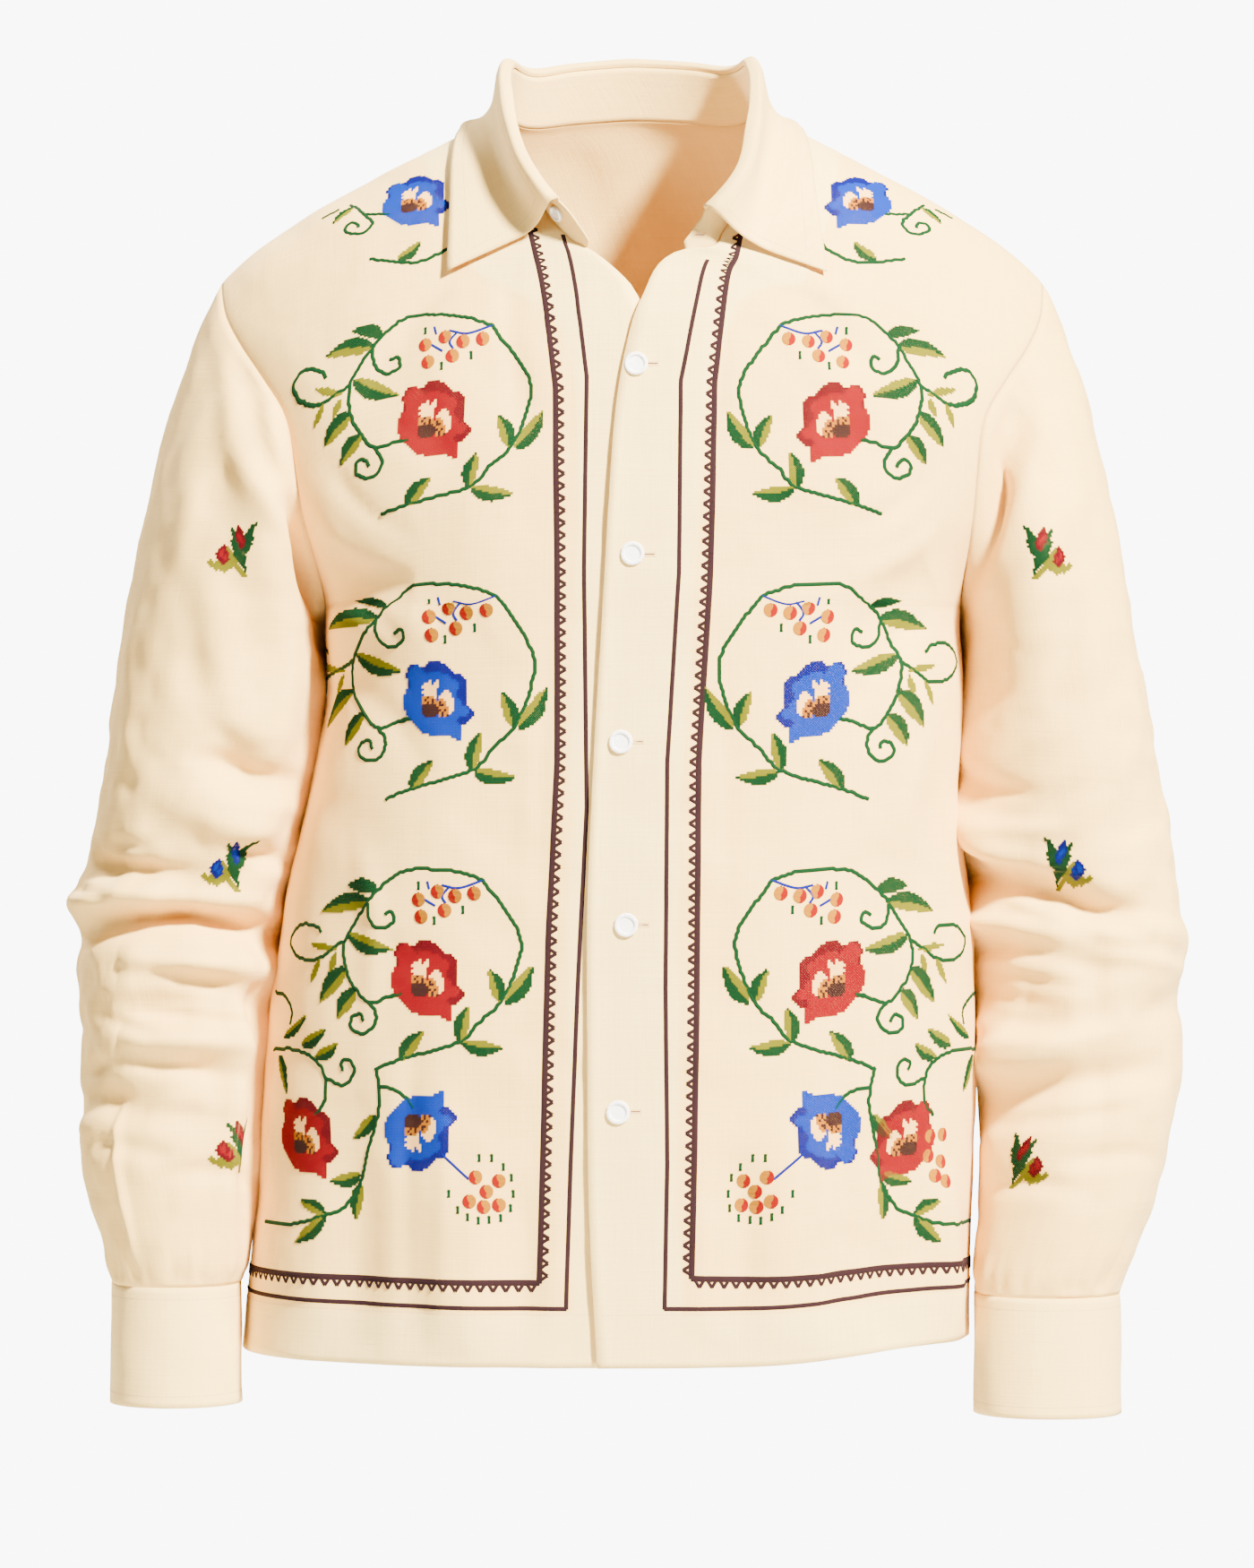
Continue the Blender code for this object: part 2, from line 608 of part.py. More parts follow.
def path_on_front(fold, back):
    x = np.array([fold[0], fold[2], fold[4]], float)
    z = np.array([fold[1], fold[3], fold[5]], float)
    steps = np.linspace(0, 1, 9)
    x = curve(np.column_stack([[0, 0.5, 1], x]), steps)[:, 0]
    z = curve(np.column_stack([[0, 0.5, 1], z]), steps)[:, 0]
    return np.stack([x, torso_depth(x, z, back), z], axis=-1)


def path_on_sleeve(fold, points, turn):
    """A fold's path over a sleeve, from the grid's column at its turn and the row at its height."""
    steps = np.linspace(0, 1, 13)
    degrees = curve(((0.0, fold[0]), (0.5, fold[2]), (1.0, fold[4])), steps)[:, 0]
    heights = curve(((0.0, fold[1]), (0.5, fold[3]), (1.0, fold[5])), steps)[:, 0]
    path = []
    closed_turn = np.concatenate([np.degrees(turn), [360.0]])
    closed_points = np.concatenate([points, points[:, :1]], axis=1)
    for angle, height in zip(degrees % 360.0, heights):
        column = np.array([
            [np.interp(angle, closed_turn, row[:, axis]) for axis in range(3)] for row in closed_points
        ])
        order = np.argsort(column[:, 2])
        path.append([np.interp(height, column[order, 2], column[order, axis]) for axis in range(3)])
    return np.array(path)


def fold_height(points, path, width, depth):
    """How far a fold lifts each point: depth on the path, fading beside it and at its ends."""
    flat = points.reshape(-1, 3)
    start, end = path[:-1], path[1:]
    way = end - start
    length = np.maximum(np.sum(way * way, axis=1), 1e-9)
    offset = flat[:, None] - start[None]
    share = np.clip(np.sum(offset * way[None], axis=-1) / length, 0.0, 1.0)
    distance = np.linalg.norm(offset - share[..., None] * way[None], axis=-1)
    nearest = np.argmin(distance, axis=1)
    rows = np.arange(len(flat))
    along = (nearest + share[rows, nearest]) / len(way)
    taper = np.sin(math.pi * np.clip(along, FOLD_TAPER_START, 1 - FOLD_TAPER_START)) ** FOLD_TAPER
    lift = depth * taper * np.exp(-((distance[rows, nearest] / width) ** 2))
    return lift.reshape(points.shape[:-1])


def seam_weight(points, seams):
    """0 on the seams, 1 away from them; seams names the grid's sewn edges."""
    distance = np.full(points.shape[:2], np.inf)
    edges = {
        "bottom": points[0], "top": points[-1], "first": points[:, 0], "last": points[:, -1],
        "neck": points[NECK_ROW:, 0],
    }
    for name in seams:
        edge = edges[name]
        gap = np.linalg.norm(points[:, :, None] - edge[None, None], axis=-1).min(axis=2)
        distance = np.minimum(distance, gap)
    return fade(distance / SEAM_FADE)


class Piece:
    """One cut piece of cloth: its outer points, their normals and its sewn edges."""

    def __init__(self, name, points, closed=False, centre=(0.0, 0.0, -350.0), seams=()):
        self.name = name
        self.points = np.asarray(points, float)
        self.closed = closed
        self.seams = seams
        self.normals = facing_out(self.points, grid_normals(self.points, closed), np.array(centre))

    def move_out(self, distance):
        self.points = self.points + self.normals * distance[..., None]
        turned = grid_normals(self.points, self.closed)
        same = np.sum(turned * self.normals) > 0
        self.normals = turned if same else -turned


def share_seam_normals(pieces):
    """Neighbours that meet at a point get one normal there, so that their rims run side by side."""
    places = {}
    for piece in pieces:
        rows, columns = piece.points.shape[:2]
        border = [(r, c) for r in range(rows) for c in range(columns)
                  if r in (0, rows - 1) or (not piece.closed and c in (0, columns - 1))]
        for r, c in border:
            key = tuple(np.round(piece.points[r, c] * SAME_PLACE).astype(int))
            places.setdefault(key, []).append((piece, r, c))
    for users in places.values():
        ways = []
        for piece, r, c in users:
            normal = piece.normals[r, c]
            if all(np.dot(normal, way) < SAME_WAY for way in ways):
                ways.append(normal)
        sharpest = min((np.dot(a, b) for a in ways for b in ways), default=1.0)
        if len(users) < 2 or sharpest < SHARP_FOLD:
            continue
        total = sum(ways) / np.linalg.norm(sum(ways))
        for piece, r, c in users:
            piece.normals[r, c] = total / max(float(np.dot(total, piece.normals[r, c])), LEAST_SLANT)


def open_seams(piece):
    """The sewn edges drawn back by half the seam gap, towards the next row or column."""
    points = piece.points.copy()
    half = SEAM_GAP / 2
    inner = {"bottom": 1, "top": -2, "first": 1, "last": -2}
    if "neck" in piece.seams:
        way = piece.points[NECK_ROW:, 1] - piece.points[NECK_ROW:, 0]
        points[NECK_ROW:, 0] += half * way / np.linalg.norm(way, axis=-1, keepdims=True)
    for name in piece.seams:
        if name == "neck":
            continue
        edge = 0 if name in ("bottom", "first") else -1
        if name in ("bottom", "top"):
            way = piece.points[inner[name]] - piece.points[edge]
            points[edge] += half * way / np.linalg.norm(way, axis=-1, keepdims=True)
        else:
            way = piece.points[:, inner[name]] - piece.points[:, edge]
            points[:, edge] += half * way / np.linalg.norm(way, axis=-1, keepdims=True)
    piece.points = points


def make_material(name, colour, roughness):
    material = bpy.data.materials.new(name)
    material.use_nodes = True
    shader = material.node_tree.nodes["Principled BSDF"]
    shader.inputs["Base Color"].default_value = colour
    shader.inputs["Roughness"].default_value = roughness
    shader.inputs["Metallic"].default_value = 0.0
    return material


def new_object(name, mesh, material, collection):
    item = bpy.data.objects.new(name, mesh)
    mesh.materials.append(material)
    collection.objects.link(item)
    return item


def build_wall(piece, collection):
    """A cloth wall: the grid of outer points, extruded inward by the cloth's thickness."""
    points, normals = piece.points, piece.normals
    if piece.closed:
        points = np.concatenate([points, points[:, :1]], axis=1)
        normals = np.concatenate([normals, normals[:, :1]], axis=1)
    rows, columns = points.shape[:2]
    outer = points.reshape(-1, 3) * MM
    inner = (points - normals * CLOTH_THICKNESS).reshape(-1, 3) * MM
    work = bmesh.new()
    spot = work.verts.layers.int.new("spot")
    bmesh.ops.create_grid(work, x_segments=columns - 1, y_segments=rows - 1, size=1.0)
    for index, vertex in enumerate(work.verts):
        vertex.co = outer[index]
        vertex[spot] = index
    if piece.closed:
        bmesh.ops.remove_doubles(work, verts=work.verts, dist=1e-6)
    sheet = list(work.verts) + list(work.edges) + list(work.faces)
    grown = bmesh.ops.extrude_face_region(work, geom=sheet, use_keep_orig=True)
    for item in grown["geom"]:
        if isinstance(item, bmesh.types.BMVert):
            item.co = inner[item[spot]]
    bmesh.ops.recalc_face_normals(work, faces=work.faces)
    mesh = bpy.data.meshes.new(piece.name)
    work.to_mesh(mesh)
    work.free()
    mesh.shade_smooth()
    return new_object(piece.name, mesh, make_material(piece.name, CLOTH_COLOUR, 0.85), collection)


def build_button(name, place, normal, radius, thickness, collection):
    """A turned button with a raised rim and a dished middle, its back on place."""
    profile = (
        (0.0, 0.62 * thickness),
        (0.62 * radius, 0.62 * thickness),
        (0.74 * radius, thickness),
        (0.90 * radius, thickness),
        (radius, 0.60 * thickness),
        (0.90 * radius, 0.0),
        (0.0, 0.0),
    )
    mesh = bpy.data.meshes.new(name)
    work = bmesh.new()
    spots = [work.verts.new((x * MM, 0.0, z * MM)) for x, z in profile]
    for first, second in zip(spots[:-1], spots[1:]):
        work.edges.new((first, second))
    work.to_mesh(mesh)
    work.free()
    item = new_object(name, mesh, make_material(name, BUTTON_COLOUR, 0.35), collection)
    screw = item.modifiers.new("Turned", "SCREW")
    screw.steps = BUTTON_SIDES
    screw.render_steps = BUTTON_SIDES
    screw.use_merge_vertices = True
    screw.merge_threshold = 0.00001
    item.location = Vector(place) * MM
    item.rotation_euler = Vector(normal).to_track_quat("Z", "Y").to_euler()
    return item


def on_torso_front(x, level, offset):
    """A point at an offset from the front's shared surface, and the normal there."""
    angle = torso_angle(x, level)
    here = torso_point(angle, level)
    across = torso_point(angle + NORMAL_STEP, level) - torso_point(angle - NORMAL_STEP, level)
    upward = torso_point(angle, level + NORMAL_STEP) - torso_point(angle, level - NORMAL_STEP)
    normal = np.cross(across, upward)
    normal /= np.linalg.norm(normal)
    return here + normal * offset, normal


def front_lap(points, level_rows, side):
    """How far a front moves out from the shared surface near the opening, where the two lap."""
    edge = curve(LEFT_FRONT_EDGE, level_rows)[:, 0]
    reach = np.abs(points[:, :, 0] - edge[:, None])
    return side * LAP_OFFSET * (1 - fade((reach - LAP_FADE_START) / LAP_FADE))


def cloth_pieces():
    """All cloth pieces, with folds, before the seams are opened."""
    left, right, back = front_points(1), front_points(-1), back_points()
    seam = neck_seam(left, right, back)
    levels = row_levels()
    middle = (0.0, 0.0, -350.0)
    pieces = {}
    for name, side, points in (("front_left", 1, left), ("front_right", -1, right)):
        piece = Piece(name, points, centre=middle, seams=("last", "top", "neck"))
        weight = seam_weight(points, ("last", "top", "neck"))
        for fold in FRONT_FOLDS:
            lift = fold_height(points, path_on_front(fold, False), fold[6], fold[7])
            piece.points = piece.points + piece.normals * (lift * weight)[..., None]
        piece.move_out(front_lap(points, levels, side) * seam_weight(points, ("top", "neck")))
        pieces[name] = piece
    piece = Piece("back", back, centre=middle, seams=("first", "last", "top"))
    weight = seam_weight(back, ("first", "last", "top"))
    lift = sum(
        fold_height(back, path_on_front(fold, True), fold[6], fold[7]) for fold in BACK_FOLDS
    )
    piece.move_out(lift * weight)
    pieces["back"] = piece
    for name, side, front, sections, folds in (
        ("sleeve_left", 1, left, LEFT_SLEEVE_SECTIONS, LEFT_SLEEVE_FOLDS),
        ("sleeve_right", -1, right, RIGHT_SLEEVE_SECTIONS, RIGHT_SLEEVE_FOLDS),
    ):
        ring = armhole_ring(front, back, side)
        points, turn = sleeve_points(sections, ring, side)
        centre = sleeve_middle(points)
        piece = Piece(name, points, closed=True, centre=centre, seams=("bottom", "top"))
        lift = sum(
            fold_height(points, path_on_sleeve(fold, points, turn), fold[6], fold[7])
            for fold in folds
        )
        piece.move_out(lift * seam_weight(points, ("bottom", "top")))
        pieces[name] = piece
    for name, side, sections in (
        ("cuff_left", 1, LEFT_SLEEVE_SECTIONS), ("cuff_right", -1, RIGHT_SLEEVE_SECTIONS),
    ):
        points = cuff_points(sections, side)
        pieces[name] = Piece(name, points, centre=sleeve_middle(points), seams=("bottom",))
    points = stand_points(seam)
    neck_middle = (2.0, -10.0, -10.0)
    pieces["collar_stand"] = Piece("collar_stand", points, centre=neck_middle, seams=("bottom",))
    seam_normals = neck_seam(
        pieces["front_left"].normals, pieces["front_right"].normals, pieces["back"].normals
    )
    points = collar_points(seam, seam_normals)
    pieces["collar"] = Piece("collar", points, centre=neck_middle)
    return pieces


def sleeve_middle(points):
    """The middle of each row, as a centre that every point of the row faces away from."""
    return points.mean(axis=1, keepdims=True)


def clear_scene():
    for item in list(bpy.data.objects):
        bpy.data.objects.remove(item, do_unlink=True)


def main():
    clear_scene()
    collection = bpy.data.collections.new("embroidered_shirt")
    bpy.context.scene.collection.children.link(collection)
    pieces = cloth_pieces()
    share_seam_normals(list(pieces.values()))
    for name, row in (("collar_stand", 0), ("front_left", -1), ("front_right", -1)):
        pieces[name].normals[row] = halved(pieces[name].normals[row, ::2])
    for piece in pieces.values():
        open_seams(piece)
        build_wall(piece, collection)
    for number, (level, x) in enumerate(FRONT_BUTTONS, start=1):
        place, normal = on_torso_front(x, level, LAP_OFFSET + SEAM_GAP)
        build_button(f"button_{number}", place, normal, BUTTON_RADIUS, BUTTON_THICKNESS, collection)
    for name, carrier, row, column in SMALL_BUTTONS:
        normal = pieces[carrier].normals[row, column]
        place = pieces[carrier].points[row, column] + normal * SEAM_GAP
        build_button(name, place, normal, SMALL_BUTTON_RADIUS, SMALL_BUTTON_THICKNESS, collection)


main()
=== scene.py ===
"""Long-sleeved embroidered shirt: its cloth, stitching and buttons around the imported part.

Left and right are the wearer's: the left side lies at +X and the front faces -Y.  Tables are in
millimetres.  Levels run from the hem (-1) over the armpit (0) to the shoulder ridge (1).
"""

import math

import bpy
import numpy as np
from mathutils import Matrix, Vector
from mathutils.bvhtree import BVHTree


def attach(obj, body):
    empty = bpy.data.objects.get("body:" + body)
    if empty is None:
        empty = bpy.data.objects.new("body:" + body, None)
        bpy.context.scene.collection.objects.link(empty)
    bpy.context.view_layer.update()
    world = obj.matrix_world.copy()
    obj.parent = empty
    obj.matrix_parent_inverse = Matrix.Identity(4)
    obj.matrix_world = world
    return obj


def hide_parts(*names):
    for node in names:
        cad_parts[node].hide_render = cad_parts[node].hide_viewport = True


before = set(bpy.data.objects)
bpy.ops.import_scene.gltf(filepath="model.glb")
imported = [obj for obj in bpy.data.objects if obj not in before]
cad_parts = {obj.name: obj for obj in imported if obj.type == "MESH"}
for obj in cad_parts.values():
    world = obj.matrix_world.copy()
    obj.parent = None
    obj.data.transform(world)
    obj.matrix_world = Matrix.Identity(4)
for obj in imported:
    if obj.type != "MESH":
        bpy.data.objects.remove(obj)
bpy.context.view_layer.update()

MM = 0.001
CAMERA_DISTANCE = 3.0    # metres, as the two below
CAMERA_HEIGHT = -0.390
VIEW_HEIGHT = 0.910
PIXEL = 0.52             # millimetres a pixel of the 1400 x 1750 frame at the shirt's middle
CENTRE_COLUMN = 700
CENTRE_ROW = 875
FRONT_NEAR = 0.96        # the fronts' distance from the camera as a share of the middle's
LIGHT_TARGET = (0.0, 0.0, -0.35)
LIGHTS = (
    # name, place, size, power, colour
    ("key", (1.8, -2.3, 2.1), 0.5, 1560.0, (1.0, 0.985, 0.96)),
    ("fill", (-1.9, -2.2, 0.9), 1.0, 60.0, (1.0, 0.98, 0.96)),
    ("back", (-1.9, 2.2, 1.7), 0.9, 330.0, (1.0, 1.0, 1.0)),
)
WORLD_STRENGTHS = (0.06, 9.0)    # as light on the shirt, and as the camera sees it
# Screen colours of the cotton: its own, its dark and its light threads, those of double layers.
COTTON, COTTON_DOUBLE = (246, 199, 106), (250, 216, 128)
DARK_COTTON = (218, 166, 82)
LIGHT_COTTON, LIGHT_DOUBLE = (251, 211, 124), (254, 225, 144)
WEAVE_PITCH = 0.00062            # metres from one thread of the weave to the next but one

CHAIN_GRID = 1.05                # back stitches end on a grid this wide

SIDE_NAMES = {1: "left", -1: "right"}
TORSO_MIDDLE = (0.0, 0.0, -350.0)
NECK_MIDDLE = (2.0, -10.0, -10.0)
CLOTH_THICKNESS = 0.85
LAP_OFFSET = 1.0         # each front lies this far from the shared surface where they lap
LAP_FADE = 48.0
SEAM_FADE = 26.0         # folds fade out over this width next to a seam
SLEEVE_SEAM_FADE = 11.0
SEAM_GROOVE = 0.55       # how far the cloth rises on both sides of a seam
GROOVE_WIDTH = 3.2
LAYER_STEP = 0.3         # how far a second layer behind lifts the cloth, away from the seams
LAYER_FADE = 8.0
FACING_WIDTH = 50.0
FACING_CALM = 0.35       # the share of the folds that is left over the facing
HEM_DEPTH = 31.0
NECK_ROUNDING = 16.0
EDGE_CURL = 1.5          # the over front's edge stands out this far, over a narrow strip
EDGE_CURL_WIDTH = 9.0
# The tables' fold depths are raised this many times.
FRONT_FOLD_DEPTH = 1.35
BACK_FOLD_DEPTH = 1.8
SLEEVE_FOLD_DEPTH = 2.1
OUTER_CALM = 0.45        # how much of the folds is lost on a sleeve's outer side
ELBOW_Z = -470.0
# Unevenness: its depth, longest and shortest wave.
FRONT_WAVES = (0.9, 95.0, 34.0)
BACK_WAVES = (1.4, 110.0, 38.0)
SMALL_WAVES = (0.12, 26.0, 11.0)
SLEEVE_WAVES = (1.0, 64.0, 20.0)
SMALL_SLEEVE_WAVES = (0.14, 24.0, 10.0)
CUFF_WAVES = (0.35, 60.0, 26.0)
COLLAR_WAVES = (0.5, 90.0, 40.0)

ARMPIT_Z = -290.0
HEM_Z = -715.0
HEM_LIFT_LEFT = 8.0      # the hem rides up a little on the wearer's left

TORSO_SECTIONS = (
    # level, middle_x, middle_y, half_width, front, back, squareness
    (-1.00, -12.5, 0.0, 209.5, 125.0, 104.0, 2.35),
    (-0.80, -7.5, 0.0, 207.0, 124.0, 101.0, 2.40),
    (-0.60, -3.5, 0.0, 205.0, 123.0, 99.0, 2.45),
    (-0.40, 0.5, 0.0, 198.0, 122.0, 100.0, 2.50),
    (-0.25, 3.6, 0.0, 188.0, 121.0, 104.0, 2.50),
    (-0.12, 10.5, 0.0, 184.0, 120.0, 108.0, 2.55),
    (0.00, 9.5, 0.0, 183.0, 119.0, 112.0, 2.60),
    (0.25, 6.0, 1.0, 210.0, 118.0, 113.0, 2.75),
    (0.50, 4.5, 2.0, 227.0, 118.0, 113.0, 2.80),
    (0.75, 4.0, 4.0, 245.0, 118.0, 112.0, 2.80),
    (1.00, 3.0, 5.0, 252.0, 118.0, 112.0, 2.80),
)
FRONT_FALL_OFF = 2.6   # how late the chest turns over to the shoulder ridge
BACK_FALL_OFF = 3.2
RIDGE = (
    # distance from the middle, height of the shoulder ridge
    (0.0, 44.0),
    (36.0, 27.0),
    (72.0, 0.0),
    (105.0, -17.0),
    (145.0, -37.0),
    (190.0, -62.0),
    (225.0, -87.0),
    (240.0, -101.0),
    (258.0, -119.0),
)
ARMHOLE = (
    # level, front edge, back edge, both as shares of the section's half width
    (0.00, 1.000, 1.000),
    (0.08, 0.975, 0.984),
    (0.22, 0.918, 0.950),
    (0.35, 0.890, 0.932),
    (0.48, 0.878, 0.930),
    (0.60, 0.897, 0.934),
    (0.75, 0.922, 0.942),
    (0.88, 0.942, 0.948),
    (1.00, 0.946, 0.946),
)

# Front edges: level, x.  The left front laps over the right one below the V of the neck, and
# from the level of the band's end up each edge is the neckline.
BAND_END_LEVEL = 0.624
LEFT_FRONT_EDGE = (
    (-1.00, -16.5), (-0.80, -21.0), (-0.60, -22.0), (-0.40, -22.0), (-0.25, -19.5), (-0.12, -16.5),
    (0.00, -13.5), (0.18, -10.0), (0.36, -5.0), (0.44, 0.0), (0.517, 8.0), (BAND_END_LEVEL, 33.0),
    (0.645, 46.0), (0.69, 54.5), (0.77, 61.5), (0.86, 67.0), (0.94, 71.7), (1.00, 74.0),
)
RIGHT_FRONT_EDGE = (
    (-1.00, 20.0), (-0.60, 17.0), (-0.25, 18.0), (0.00, 20.0), (0.30, 22.0), (0.38, 21.0),
    (0.44, 17.5), (0.517, 7.0), (BAND_END_LEVEL, -22.5),
    (0.645, -30.0), (0.69, -40.0), (0.77, -51.0), (0.86, -60.0), (0.94, -66.0), (1.00, -70.0),
)
FRONT_EDGES = {1: LEFT_FRONT_EDGE, -1: RIGHT_FRONT_EDGE}
BACK_NECK_Z = 3.0

UPPER_KNOTS = (
    0.0, 0.10, 0.21, 0.33, 0.44, 0.54, BAND_END_LEVEL, 0.645, 0.69, 0.77, 0.86, 0.94, 0.985, 1.0,
)
KNOT_STEPS = 6
LOWER_ROWS = 108
NECK_ROW = LOWER_ROWS + KNOT_STEPS * UPPER_KNOTS.index(BAND_END_LEVEL)
FRONT_COLUMNS = 100
SHOULDER_COLUMNS = 40
BACK_NECK_COLUMNS = 22

# Sleeves: z, middle x outward, middle_y, half_width, half_depth
RIGHT_SLEEVE_SECTIONS = (
    (-676.0, 258.7, -28.0, 36.8, 38.0),
    (-668.0, 258.3, -27.5, 40.0, 41.5),
    (-652.0, 259.0, -26.0, 42.5, 46.0),
    (-625.0, 262.0, -22.0, 48.0, 51.0),
    (-590.0, 264.0, -18.0, 52.6, 55.0),
    (-549.0, 261.5, -12.0, 52.5, 58.0),
    (-510.0, 261.5, -6.0, 55.0, 61.0),
    (-476.0, 260.7, -2.0, 59.0, 64.0),
    (-434.0, 252.5, 0.0, 59.0, 67.0),
    (-394.0, 244.5, -2.0, 59.5, 69.0),
    (-340.0, 236.0, -4.0, 60.5, 71.0),
)
LEFT_SLEEVE_SECTIONS = (
    (-682.0, 241.5, -28.0, 41.5, 40.0),
    (-673.0, 242.0, -27.5, 43.5, 43.0),
    (-656.0, 247.0, -26.0, 46.0, 47.0),
    (-630.0, 253.5, -22.0, 50.0, 52.0),
    (-600.0, 257.5, -18.0, 53.0, 56.0),
    (-565.0, 261.0, -12.0, 57.0, 59.0),
    (-517.0, 261.0, -6.0, 58.5, 62.0),
    (-467.0, 260.0, -2.0, 59.0, 65.0),
    (-425.0, 256.0, 0.0, 59.0, 68.0),
    (-384.0, 251.0, -2.0, 57.5, 70.0),
    (-340.0, 248.0, -4.0, 52.0, 72.0),
)
SLEEVE_SQUARENESS = 2.15
CAP_ROWS = 36
ARM_ROWS = 130
CUFF_LENGTH = 68.0
CUFF_ROWS = 20
CUFF_COLUMNS = 130
CUFF_LAP_START = 300.0  # degrees round the arm at which the cuff's outer end lies, 270 at the back
CUFF_LAP = 32.0         # degrees that the cuff's ends lap
CUFF_LAP_OFFSET = 1.9
CUFF_LAP_FADE = 40.0
CUFF_GROWTH = (0.0, -4.0, 0.6, 0.8)    # what the section's columns gain down to the cuff's end
# The way a sleeve leaves its armhole: outward in front and at its sides, backward, upward.
SLEEVE_LEAVES_OUT = (0.55, 0.42)
SLEEVE_LEAVES_BACK = -0.20
SLEEVE_LEAVES_UP = -0.85
# Gathers over a cuff: their spacing and ranges of width in degrees, of length and depth.
GATHER_PITCH = 15.0
GATHER_WIDTHS = (3.4, 5.2)
GATHER_LENGTHS = (22.0, 52.0)
GATHER_DEPTHS = (1.1, 2.6)

# The collar stand's height and its lean outward in degrees on the wearer's left and right, by
# share of the way from the back middle to the band's end.
STAND_RISE = (
    # share, height, lean_left, lean_right
    (0.00, 32.0, -17.0, -17.0),
    (0.22, 31.0, -16.0, -16.0),
    (0.42, 26.5, -12.0, -10.0),
    (0.58, 24.0, 2.0, 6.0),
    (0.70, 23.0, 14.0, 20.0),
    (0.80, 22.5, 20.0, 32.0),
    (0.89, 21.5, 12.0, 38.0),
    (0.95, 16.0, 6.0, 38.0),
    (1.00, 5.0, 0.0, 38.0),
)
STAND_ROWS = 10
# Outer edge of the collar: share as above, x, y, z of the left half; y is kept clear of the cloth.
COLLAR_EDGE = (
    (0.00, 0.0, 89.0, -13.0),
    (0.14, 44.0, 83.0, -14.0),
    (0.28, 77.0, 55.0, -9.0),
    (0.42, 96.0, 10.0, -4.0),
    (0.56, 101.0, -34.0, -27.0),
    (0.73, 103.0, -66.0, -62.0),
    (0.90, 106.5, -88.0, -102.0),
)
COLLAR_END_SHARE = 0.90
COLLAR_SHIFT_FRONT = 7.0   # the open collar hangs a little to the wearer's left in front
COLLAR_CLEARANCE = 4.6
COLLAR_RISE = 3.0          # the leaf runs on up from the stand this far, then turns over
COLLAR_ROLL = 3.6
COLLAR_BREAK = 0.2         # the leaf leaves the stand this far along the way to its edge
COLLAR_LIFT = 6.5
COLLAR_LEAVES = 0.37       # from here on the leaf is kept clear of the torso
COLLAR_KNOTS = (0.0, 0.06, 0.13, 0.45, 1.0)
COLLAR_STEPS = (0.0, 0.06, 0.13, 0.26, COLLAR_LEAVES, 0.48, 0.72, 1.0)
COLLAR_FINENESS = 6        # rows between two steps

# Level and x of the five front buttons, from the top down.
FRONT_BUTTONS = (
    (0.404, 5.0), (0.085, 3.0), (-0.18, -3.5), (-0.42, -0.5), (-0.665, -5.0),
)
# Folds of the torso: three points (x, z) along each, its width and its depth, below zero for a trough.
FRONT_FOLDS = (
    # x0, z0, x1, z1, x2, z2, width, depth
    (-176, -262, -150, -276, -118, -282, 15, -5.0),
    (-172, -300, -140, -296, -104, -300, 17, 4.0),
    (-158, -560, -152, -640, -156, -712, 20, -6.0),
    (-84, -600, -88, -660, -92, -714, 18, 4.5),
    (172, -268, 150, -290, 132, -330, 18, -5.0),
    (166, -330, 158, -380, 148, -430, 20, 4.5),
    (176, -600, 182, -660, 184, -712, 14, 6.0),
    (150, -560, 146, -640, 150, -712, 22, -5.0),
    (92, -560, 90, -640, 94, -712, 20, 4.0),
    # finer creases
    (-92, -96, -118, -128, -146, -168, 8, -1.6),
    (-70, -112, -98, -150, -130, -186, 9, 1.3),
    (-168, -212, -150, -234, -122, -250, 6, -2.0),
    (-176, -236, -152, -260, -116, -268, 6, 1.6),
    (-172, -284, -148, -290, -120, -312, 6, -1.8),
    (-162, -328, -134, -352, -112, -384, 8, -1.6),
    (-150, -420, -142, -470, -146, -540, 8, 1.5),
    (-116, -520, -124, -600, -120, -706, 8, -1.7),
    (-104, -560, -102, -640, -106, -712, 7, 1.4),
    (-60, -600, -56, -660, -60, -712, 8, -1.3),
    (-44, -300, -48, -400, -46, -500, 6, -0.8),
    (-66, -96, -64, -150, -56, -210, 7, -1.0),
    (-40, -560, -38, -640, -42, -712, 7, 1.0),
    (86, -104, 116, -132, 140, -160, 8, -1.5),
    (66, -108, 98, -148, 128, -176, 9, 1.3),
    (170, -216, 150, -236, 124, -246, 6, -1.9),
    (176, -244, 156, -262, 122, -276, 6, 1.6),
    (172, -296, 150, -312, 128, -350, 6, -2.0),
    (162, -360, 146, -392, 140, -440, 8, -1.6),
    (176, -470, 168, -530, 172, -600, 9, -2.0),
    (120, -540, 124, -620, 118, -706, 8, -1.6),
    (106, -560, 108, -640, 104, -712, 7, 1.3),
    (62, -590, 66, -650, 62, -712, 8, -1.3),
    (52, -300, 56, -400, 52, -500, 6, -0.8),
    (58, -120, 50, -170, 46, -230, 7, -1.0),
    (40, -560, 42, -640, 38, -712, 7, 0.9),
)
